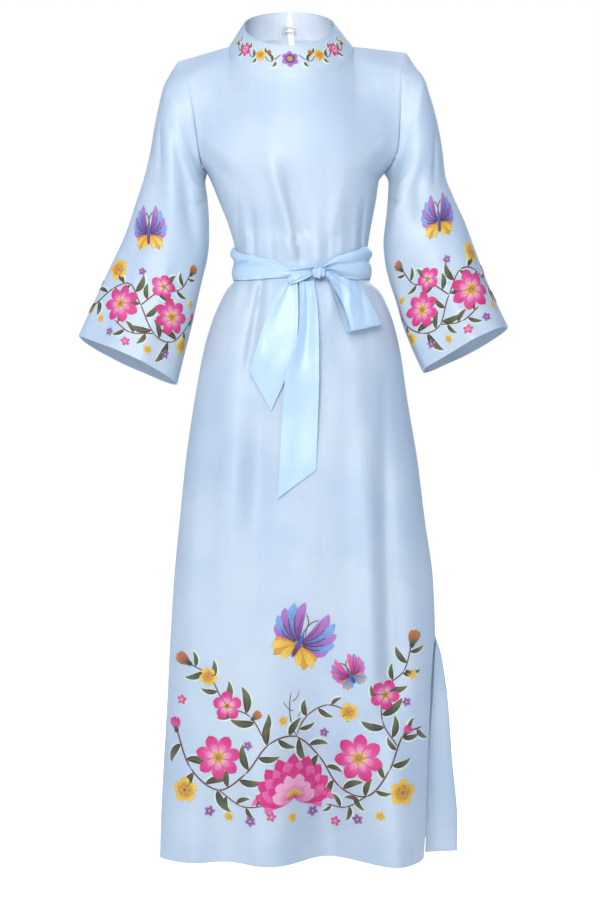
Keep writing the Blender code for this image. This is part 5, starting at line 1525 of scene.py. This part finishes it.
def skirt_design():
    """The skirt's border: a running scroll along the hem with a flower in each hollow of it.

    Two lighter sprays climb from the scroll's crests, and two butterflies fly over its middle.
    """
    scroll = [(-0.178, -1.078), (-0.156, -1.134), (-0.112, -1.168), (-0.070, -1.140), (-0.034, -1.094)]
    scroll += [(0.008, -1.084), (0.044, -1.118), (0.076, -1.166), (0.118, -1.176), (0.152, -1.134)]
    scroll += [(0.174, -1.084), (0.204, -1.072)]
    patches = leafy_vine(scroll, 27, 0.036, 0.0024)
    left = [(-0.036, -1.096), (-0.062, -1.052), (-0.100, -1.034), (-0.126, -0.992), (-0.156, -0.974)]
    right = [(0.166, -1.100), (0.142, -1.060), (0.146, -1.014), (0.176, -0.984), (0.188, -0.944)]
    patches += leafy_vine(left, 9, 0.036) + leafy_vine(right, 9, 0.036)
    patches += leafy_vine([(0.008, -1.084), (0.026, -1.052), (0.058, -1.036), (0.092, -1.046)], 5, 0.026)
    patches += leafy_vine([(-0.112, -1.168), (-0.078, -1.190), (-0.044, -1.188)], 4, 0.024)
    patches += leafy_vine([(0.118, -1.176), (0.086, -1.198), (0.056, -1.196)], 4, 0.024)
    patches += lotus((0.004, -1.178), 0.068)
    patches += blossom((-0.112, -1.116), 0.036, 7, 12) + blossom((0.106, -1.118), 0.038, 7, 34)
    patches += blossom((-0.098, -1.036), 0.023, 5, 20) + blossom((0.146, -1.020), 0.024, 5, 62)
    patches += blossom((-0.164, -1.168), 0.020, 5, 20, *GOLD_FLOWER)
    patches += blossom((0.172, -1.168), 0.021, 5, 80, *GOLD_FLOWER)
    patches += blossom((0.090, -1.046), 0.015, 5, 40, *GOLD_FLOWER)
    patches += blossom((-0.128, -0.992), 0.015, 5, 50, *GOLD_FLOWER)
    patches += bud((-0.156, -0.974), 150, 0.026, RUSTY) + bud((0.188, -0.946), 74, 0.026, RUSTY)
    patches += bud((-0.178, -1.080), 100, 0.022, ROSY) + bud((0.176, -1.084), 58, 0.018, ROSY)
    patches += bud((-0.060, -1.056), 40, 0.018, RUSTY) + bud((0.180, -0.984), -30, 0.018, GOLDEN)
    small = [
        (-0.126, -1.200, 0.0088, VIOLETS), (-0.096, -1.208, 0.0080, GOLDEN),
        (-0.062, -1.212, 0.0088, VIOLETS), (-0.030, -1.204, 0.0078, ROSY),
        (0.002, -1.208, 0.0084, GOLDEN), (0.034, -1.204, 0.0088, VIOLETS),
        (0.070, -1.222, 0.0080, ROSY), (0.104, -1.214, 0.0086, VIOLETS),
        (0.138, -1.204, 0.0080, GOLDEN), (0.052, -1.080, 0.0078, VIOLETS),
        (-0.012, -1.058, 0.0080, GOLDEN), (-0.066, -1.096, 0.0074, VIOLETS),
        (-0.170, -1.030, 0.0076, ROSY), (0.180, -1.032, 0.0076, VIOLETS),
    ]
    patches += stars(small, 25)
    patches += butterfly((0.012, -0.940), 0.066, 62)
    patches += butterfly((0.094, -0.990), 0.036, 118, (PINK, ROSE), VIOLETS, (BLUE, SKY))
    patches += grasses((0.008, -1.084), 96, 0.070)
    return patches


def sleeve_design():
    """A sleeve's border, in metres across from its front middle and up from its cuff."""
    stem = [(-0.088, 0.086), (-0.062, 0.048), (-0.028, 0.046), (0.002, 0.080), (0.030, 0.106), (0.060, 0.092)]
    stem += [(0.084, 0.058)]
    patches = leafy_vine(stem, 13, 0.031)
    patches += leafy_vine([(0.002, 0.080), (-0.018, 0.112), (-0.046, 0.128), (-0.056, 0.160)], 6, 0.026)
    patches += leafy_vine([(-0.028, 0.046), (0.004, 0.034), (0.034, 0.044)], 4, 0.022)
    patches += blossom((-0.046, 0.082), 0.029, 7, 10) + blossom((0.034, 0.072), 0.031, 7, 35)
    patches += blossom((-0.020, 0.120), 0.019, 5, 15)
    patches += blossom((0.062, 0.122), 0.017, 5, 60, *GOLD_FLOWER)
    patches += blossom((-0.086, 0.050), 0.014, 5, 60, *GOLD_FLOWER)
    patches += bud((-0.056, 0.160), 108, 0.021, RUSTY) + bud((-0.088, 0.086), 110, 0.019, ROSY)
    patches += bud((0.084, 0.060), -60, 0.018, RUSTY)
    small = [
        (-0.056, 0.026, 0.0074, VIOLETS), (-0.026, 0.020, 0.0070, GOLDEN),
        (0.006, 0.018, 0.0072, ROSY), (0.038, 0.024, 0.0074, VIOLETS),
        (0.064, 0.040, 0.0068, GOLDEN), (0.016, 0.130, 0.0066, VIOLETS),
        (-0.074, 0.116, 0.0066, GOLDEN), (0.092, 0.096, 0.0066, ROSY),
    ]
    patches += stars(small, 31)
    patches += butterfly((0.026, 0.184), 0.042, 68)
    return patches


def collar_design():
    """The collar's border, in metres round from its front middle and up from its seam."""
    patches = []
    for side in (-1, 1):
        x = side * np.array([0.014, 0.030, 0.046, 0.062, 0.078, 0.094, 0.110])
        z = 0.0195 + 0.0062 * np.cos(np.pi * np.arange(7))
        patches += vine(np.stack([x, z], -1), 0.0014)
        for k in range(1, 7):
            up = 64 if k % 2 else -64
            angle = up if side > 0 else 180 - up
            patches += leaf((x[k] - side * 0.004, z[k]), angle, 0.0140, 0.0050, 0.14 * side)
            patches += leaf((x[k] - side * 0.009, z[k]), -angle, 0.0100, 0.0040, -0.14 * side)
        patches += blossom((side * 0.047, 0.020), 0.0098, 5, 18, *GOLD_FLOWER)
        patches += blossom((side * 0.080, 0.020), 0.0110, 6, 50)
        patches += bud((side * 0.104, 0.020), 90 - 80 * side, 0.0120, GOLDEN)
        patches += bud((side * 0.030, 0.022), 90 - 34 * side, 0.0105, RUSTY)
    patches += blossom((0.000, 0.0195), 0.0135, 6, 90, VIOLETS, (WINE, VIOLET))
    return patches


def mirrored(patches):
    """The same design with its left and right changed over."""
    return [{**piece, "line": piece["line"] * np.array([-1, 1])} for piece in patches]


def sew_patches(name, patches, place, cloth, material):
    """Makes one mesh of the patches: each is a closed lens of thread that stands on the cloth.

    A point is the middle line plus a share q of the half width to the side. Its height over the
    cloth is the layer's, plus a dome of sqrt(1 - q * q); the underside is flat and just under it.
    """
    line = np.array([p["line"] for p in patches])
    half = np.array([p["half"] for p in patches])
    low = np.array([p["low"] for p in patches])
    high = np.array([p["high"] for p in patches])
    level = np.array([p["level"] for p in patches])
    threads_across = np.array([p["across"] for p in patches])
    step = np.gradient(line, axis=1)
    side = unit(np.stack([-step[..., 1], step[..., 0]], -1))
    q = np.sin(np.linspace(-0.5, 0.5, PATCH_ACROSS) * np.pi)
    flat = line[:, :, None] + side[:, :, None] * (half[..., None] * q)[..., None]
    t = np.linspace(0, 1, PATCH_STEPS)
    round_off = np.sin(np.pi * np.clip(t, 0.04, 0.96))[None, :, None] ** 0.4
    fullness = np.minimum(half[..., None] / FULL_DOME_HALF_WIDTH, 1)
    dome = np.sqrt(np.maximum(1 - q * q, 0)) * fullness * round_off
    base = level[:, None, None] * LAYER_HEIGHT
    row, column = place(flat[..., 0], flat[..., 1])
    top = lay(cloth, row, column, PATCH_LIFT + base + PATCH_HEIGHT * dome)
    under = lay(cloth, row, column, np.full(dome.shape, -PATCH_SINK) + 0.5 * base)
    count = len(patches)
    number = np.arange(count * PATCH_STEPS * PATCH_ACROSS).reshape(count, PATCH_STEPS, PATCH_ACROSS)
    a, b = number[:, :-1, :-1], number[:, :-1, 1:]
    c, d = number[:, 1:, 1:], number[:, 1:, :-1]
    cells = np.stack([a, d, c, b], -1).reshape(-1, 4)
    shift = number.size
    loop = np.concatenate(
        [number[:, 0, :-1], number[:, :-1, -1], number[:, -1, :0:-1], number[:, :0:-1, 0]], axis=1
    )
    ahead = np.roll(loop, -1, axis=1)
    rim = np.stack([loop, ahead, ahead + shift, loop + shift], -1).reshape(-1, 4)
    faces = np.concatenate([cells, cells[:, ::-1] + shift, rim])
    points = np.concatenate([top.reshape(-1, 3), under.reshape(-1, 3)])
    length = np.concatenate(
        [np.zeros((count, 1)), np.cumsum(np.linalg.norm(np.diff(line, axis=1), axis=-1), axis=1)], axis=1
    )
    along = length[..., None] + 0 * q
    aside = half[..., None] * q
    threads_across = threads_across[:, None, None]
    slant = np.where(threads_across, along + ACROSS_SLANT * np.abs(aside), aside + ALONG_SLANT * along)
    other = np.where(threads_across, aside, along)
    uv = np.stack([slant + THREAD_SHIFT * np.arange(count)[:, None, None], other], -1).reshape(-1, 2)
    mixed = ease(t)[None, :, None, None] + 0 * q[None, None, :, None]
    thread = (low[:, None, None] * (1 - mixed) + high[:, None, None] * mixed).reshape(-1, 3)
    attributes = {"uv": np.concatenate([uv, uv]), "thread": np.concatenate([thread, thread])}
    return add_mesh(name, points, faces, [material], attributes, sharp=75)


def on_skirt(x, z):
    """Row and column of the front's cloth at x and z."""
    row = (z - HEM_Z) / (ARMPIT_Z - HEM_Z) * (len(body_rows()) - 1)
    return row, (front_place(x, z) + 1) * FRONT_COLUMNS


def on_sleeve(cloth, side):
    """A function that gives the row and column of a sleeve's cloth, from its front middle and its cuff."""
    across, up = wall_grid(cloth["outer"], True)
    girth = across[:, -1] * (1 + 1 / SLEEVE_COLUMNS)
    middle = SLEEVE_COLUMNS // 4
    height = up[-1, middle] - up[:, middle]

    def place(a, b):
        row = np.interp(-b, -height, np.arange(len(height)))
        round_it = np.interp(row, np.arange(len(girth)), girth)
        return row, middle + side * a / round_it * SLEEVE_COLUMNS

    return place


def on_collar(cloth):
    """A function that gives the row and column of the collar's cloth, from its front middle and its seam."""
    across, up = wall_grid(cloth["outer"], False)
    along = across[COLLAR_ROWS // 2]
    height = up[:, across.shape[1] // 2]

    def place(a, b):
        row = np.interp(b, height, np.arange(len(height)))
        return row, np.interp(a, along, np.arange(len(along)))

    return place


def facing_cloth(panel, collar, side):
    """The turned band inside one edge of the back slit, up the panel and on up the collar."""
    inwards = np.linspace(0.1, FACING_SHARE * BACK_COLUMNS / 11, FACING_COLUMNS)
    parts = []
    for cloth, count in ((panel, FACING_ROWS[0]), (collar, FACING_ROWS[1])):
        last_row, last_column = np.array(cloth["outer"].shape[:2]) - 1
        rows = last_row - np.arange(count, -1, -1.0)[:, None]
        if cloth is collar:
            rows = np.arange(1, count + 2, dtype=float)[:, None]
        columns = inwards if side < 0 else last_column - inwards[::-1]
        out = np.full((len(rows), FACING_COLUMNS), -(COLLAR_WALL + FACING_CLEARANCE))
        parts.append(lay(cloth, rows + 0 * columns, columns + 0 * rows, out))
    return new_cloth(np.concatenate(parts))


def add_tube(name, path, radius, material):
    """A wire: rings of one radius square to a path, closed by a point at each end."""
    path = np.array(path, float)
    t = np.linspace(0, len(path) - 1, WIRE_STEPS * (len(path) - 1) + 1)
    line = smooth_line(path, t)
    ahead = unit(np.gradient(line, axis=0))
    first = unit(np.cross(ahead, np.array([0.02, 1.0, 0.03])))
    second = np.cross(ahead, first)
    turn = 2 * np.pi * np.arange(WIRE_SIDES) / WIRE_SIDES
    ring = first[:, None] * np.cos(turn)[:, None] + second[:, None] * np.sin(turn)[:, None]
    points = np.concatenate([line[:1], (line[:, None] + ring * radius).reshape(-1, 3), line[-1:]])
    return add_mesh(name, points, tube_faces(len(line), WIRE_SIDES), [material], {})


def add_hooks(material):
    """Two hooks and eyes of wire inside the collar, across the back slit."""
    made = []
    for k, z in enumerate(HOOK_HEIGHTS):
        hook = [(-0.0150, 0.0016), (-0.0110, 0.0020), (-0.0060, 0.0008), (-0.0010, 0.0007), (0.0012, 0.0)]
        hook += [(-0.0010, -0.0007), (-0.0060, -0.0008), (-0.0110, -0.0020), (-0.0150, -0.0016)]
        eye = [(0.0085, 0.0022), (0.0060, 0.0018), (0.0030, 0.0016), (0.0008, 0.0014), (-0.0002, 0.0)]
        eye += [(0.0008, -0.0014), (0.0030, -0.0016), (0.0060, -0.0018), (0.0085, -0.0022)]
        for label, path, y in (("hook", hook, HOOK_Y), ("eye", eye, HOOK_Y + EYE_BEHIND_HOOK)):
            wire = [(x, y, z + up) for x, up in path]
            made.append(add_tube(f"{label}_{k + 1}", wire, WIRE_RADIUS, material))
    return made


def row_of_stitches(cloth, rows):
    """Signed distance to the nearest row of stitches; each row runs a stated way in from one edge."""
    far = edge_distances(cloth)
    return np.min([np.abs(far[side] - inset) for side, inset in rows.items()], axis=0)


def hang_dress():
    """Makes the panels, sleeves and collar, and returns their cloths by name."""
    front_f = np.linspace(-1, 1, 2 * FRONT_COLUMNS + 1)
    cloths = {
        "front_panel": new_cloth(face_cloth(front_f, "front", NECK_SHARE)),
        "back_panel_right": new_cloth(back_half_cloth(1)),
        "back_panel_left": new_cloth(back_half_cloth(-1)),
        "sleeve_right": new_cloth(sleeve_cloth(1), closed=True, turned=True),
        "sleeve_left": new_cloth(sleeve_cloth(-1), closed=True),
        "collar": new_cloth(collar_cloth()),
    }
    seams = {
        "front_panel": ("top", "first", "last"),
        "back_panel_right": ("top", "first", "last"),
        "back_panel_left": ("top", "first", "last"),
        "sleeve_right": ("foot",),
        "sleeve_left": ("foot",),
        "collar": ("foot", "first", "last"),
    }
    for name, cloth in cloths.items():
        dip_at_seams(cloth, seams[name])
    stitches = {
        "front_panel": {"foot": HEM_STITCH},
        "back_panel_right": {"foot": HEM_STITCH},
        "back_panel_left": {"foot": HEM_STITCH},
        "sleeve_right": {"top": CUFF_STITCH},
        "sleeve_left": {"top": CUFF_STITCH},
        "collar": {"foot": COLLAR_SEAM_STITCH, "top": COLLAR_EDGE_STITCH},
    }
    for name, cloth in cloths.items():
        cloth["stitch"] = row_of_stitches(cloth, stitches[name])
    return cloths


def main():
    """Makes every piece of the dress and hides the solids that the pieces replace."""
    dress_satin = satin_cloth("dress_satin", "BDCBD4", "B2C4D2", DRESS_ROUGHNESS)
    # The lining's pale colour is painted light: it is much paler than the dress satin, so the inside of the
    # neck, which the collar and back panels shade, looks as bright as the outside
    painted_light_lining = satin_cloth("painted_light_lining", "E9F2FA", "E0ECF7", DRESS_ROUGHNESS)
    sash_satin = satin_cloth("sash_satin", "BFD8EA", "B3CFE6", SASH_ROUGHNESS)
    cloths = hang_dress()
    pieces = {}
    for name, cloth in cloths.items():
        wall = COLLAR_WALL if name == "collar" else CLOTH_WALL
        inside = dress_satin if name in SAME_INSIDE else painted_light_lining
        pieces[name] = add_wall(name + "_cloth", cloth, wall, dress_satin, inside)
        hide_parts(name)

    sash = {
        "sash_band": sash_band_cloth(),
        "tail_left": tail_cloth(TAIL_LEFT, TAIL_ROWS_FINE["left"]),
        "tail_right": tail_cloth(TAIL_RIGHT, TAIL_ROWS_FINE["right"]),
        "bow_loop": loop_cloth(),
    }
    for name, cloth in sash.items():
        cloth["stitch"] = row_of_stitches(cloth, {"first": SASH_STITCH, "last": SASH_STITCH})
        cloth["seam"] = seam_distances(cloth, ("first", "last", "foot"))
        pieces[name] = add_wall(name + "_cloth", cloth, CLOTH_WALL, sash_satin)
    knot_size = ((KNOT_HALF_HEIGHT,) * 2, (KNOT_HALF_DEPTH,) * 2, KNOT_BACK_AHEAD, KNOT_END_SQUARE)
    wrap_size = (WRAP_HALF_HEIGHT, WRAP_HALF_DEPTH, WRAP_BACK_AHEAD, WRAP_END_SQUARE)
    pieces["sash_knot"] = add_roll("sash_knot_cloth", KNOT_ENDS, *knot_size, KNOT_FOLDS, sash_satin)
    pieces["sash_wrap"] = add_roll("sash_wrap_cloth", WRAP_ENDS, *wrap_size, WRAP_FOLDS, sash_satin)
    for name in ("sash_band", "tail_left", "tail_right", "bow_loop", "sash_knot", "sash_wrap"):
        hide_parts(name)

    for side, name in SIDES:
        cloth = facing_cloth(cloths["back_panel_" + name], cloths["collar"], side)
        cloth["stitch"] = row_of_stitches(cloth, {"first" if side > 0 else "last": FACING_STITCH})
        node = "slit_facing_" + name
        # The facings get the lining's painted light too
        pieces[node] = add_wall(node + "_cloth", cloth, FACING_WALL, painted_light_lining)
        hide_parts(node)

    threads = embroidery_thread("rayon_thread")
    front, collar = cloths["front_panel"], cloths["collar"]
    on_cloth = {"front_panel": [sew_patches("skirt_embroidery", skirt_design(), on_skirt, front, threads)]}
    sleeve = sleeve_design()
    for side, name, design in ((1, "right", sleeve), (-1, "left", mirrored(sleeve))):
        cloth = cloths["sleeve_" + name]
        sewn = sew_patches(f"sleeve_embroidery_{name}", design, on_sleeve(cloth, side), cloth, threads)
        on_cloth["sleeve_" + name] = [sewn]
    sewn = sew_patches("collar_embroidery", collar_design(), on_collar(collar), collar, threads)
    on_cloth["collar"] = [sewn]
    on_cloth["slit_facing_right"] = add_hooks(plated_wire("plated_wire"))
    on_cloth["sash_band"] = [pieces["sash_knot"], pieces["sash_wrap"]]


def add_camera():
    """The photograph's view: level, from the front, at the middle of the dress."""
    camera = bpy.data.objects.new("camera", bpy.data.cameras.new("camera"))
    camera.location = CAMERA_PLACE
    camera.rotation_euler = (np.pi / 2, 0, 0)
    camera.data.sensor_fit = "VERTICAL"
    camera.data.sensor_height = SENSOR
    camera.data.lens = LENS
    bpy.context.scene.collection.objects.link(camera)
    bpy.context.scene.camera = camera


def add_light(name, place, aim, size, power_w, colour="FFFFFF"):
    """A square soft box that faces its aim."""
    data = bpy.data.lights.new(name, "AREA")
    data.size = size
    data.energy = power_w
    data.color = linear(colour)
    lamp = bpy.data.objects.new(name, data)
    lamp.location = place
    away = np.array(place) - np.array(aim)
    flat = np.hypot(away[0], away[1])
    lamp.rotation_euler = (np.arctan2(flat, away[2]), 0, np.arctan2(away[0], -away[1]))
    bpy.context.scene.collection.objects.link(lamp)


def add_studio():
    """A plain pale floor and soft light, stronger from the upper left."""
    corners = [(-FLOOR_REACH, -FLOOR_REACH), (FLOOR_REACH, -FLOOR_REACH)]
    corners += [(FLOOR_REACH, FLOOR_REACH), (-FLOOR_REACH, FLOOR_REACH)]
    mesh = bpy.data.meshes.new("floor")
    mesh.from_pydata([(x, y, FLOOR_Z) for x, y in corners], [], [(0, 1, 2, 3)])
    material, tree, shader = new_material("floor_paint", "F6F7F8", 0.9, 0.0)
    shader.inputs["Emission Color"].default_value = (1, 1, 1, 1)
    seen_alone = add(tree, "ShaderNodeLightPath").outputs["Is Camera Ray"]
    glow = add(tree, "ShaderNodeMapRange", Value=seen_alone)
    glow.inputs["To Min"].default_value = FLOOR_GLOW
    glow.inputs["To Max"].default_value = FLOOR_SEEN
    tree.links.new(glow.outputs["Result"], shader.inputs["Emission Strength"])
    mesh.materials.append(material)
    floor = bpy.data.objects.new("floor", mesh)
    bpy.context.scene.collection.objects.link(floor)
    world = bpy.data.worlds.new("studio")
    world.use_nodes = True
    tree = world.node_tree
    lit = tree.nodes["Background"]
    lit.inputs["Color"].default_value = (*linear("BFD4FF"), 1)
    lit.inputs["Strength"].default_value = WORLD_LIGHT
    seen = add(tree, "ShaderNodeBackground", {"Strength": 1.0})
    seen.inputs["Color"].default_value = (1, 1, 1, 1)
    ray = add(tree, "ShaderNodeLightPath").outputs["Is Camera Ray"]
    mix = add(tree, "ShaderNodeMixShader", i0=ray, i1=lit.outputs[0], i2=seen.outputs[0])
    tree.links.new(mix.outputs[0], tree.nodes["World Output"].inputs["Surface"])
    bpy.context.scene.world = world
    bpy.context.scene.view_settings.view_transform = "Standard"
    middle = (0.0, 0.0, -0.55)
    add_light("key", (-0.50, -2.75, 0.62), (0.0, 0.0, -0.30), 1.2, KEY_LIGHT, "FFFAF4")
    add_light("left", (-2.6, -1.6, 0.8), middle, 1.2, LEFT_LIGHT, "EEF4FF")
    add_light("top", (0.1, -2.0, 1.8), (0.0, 0.0, 0.0), 1.2, TOP_LIGHT, "F4F8FF")
    add_light("back", (0.6, 2.8, 1.1), middle, 1.6, BACK_LIGHT, "F4F8FF")


main()
add_camera()
add_studio()
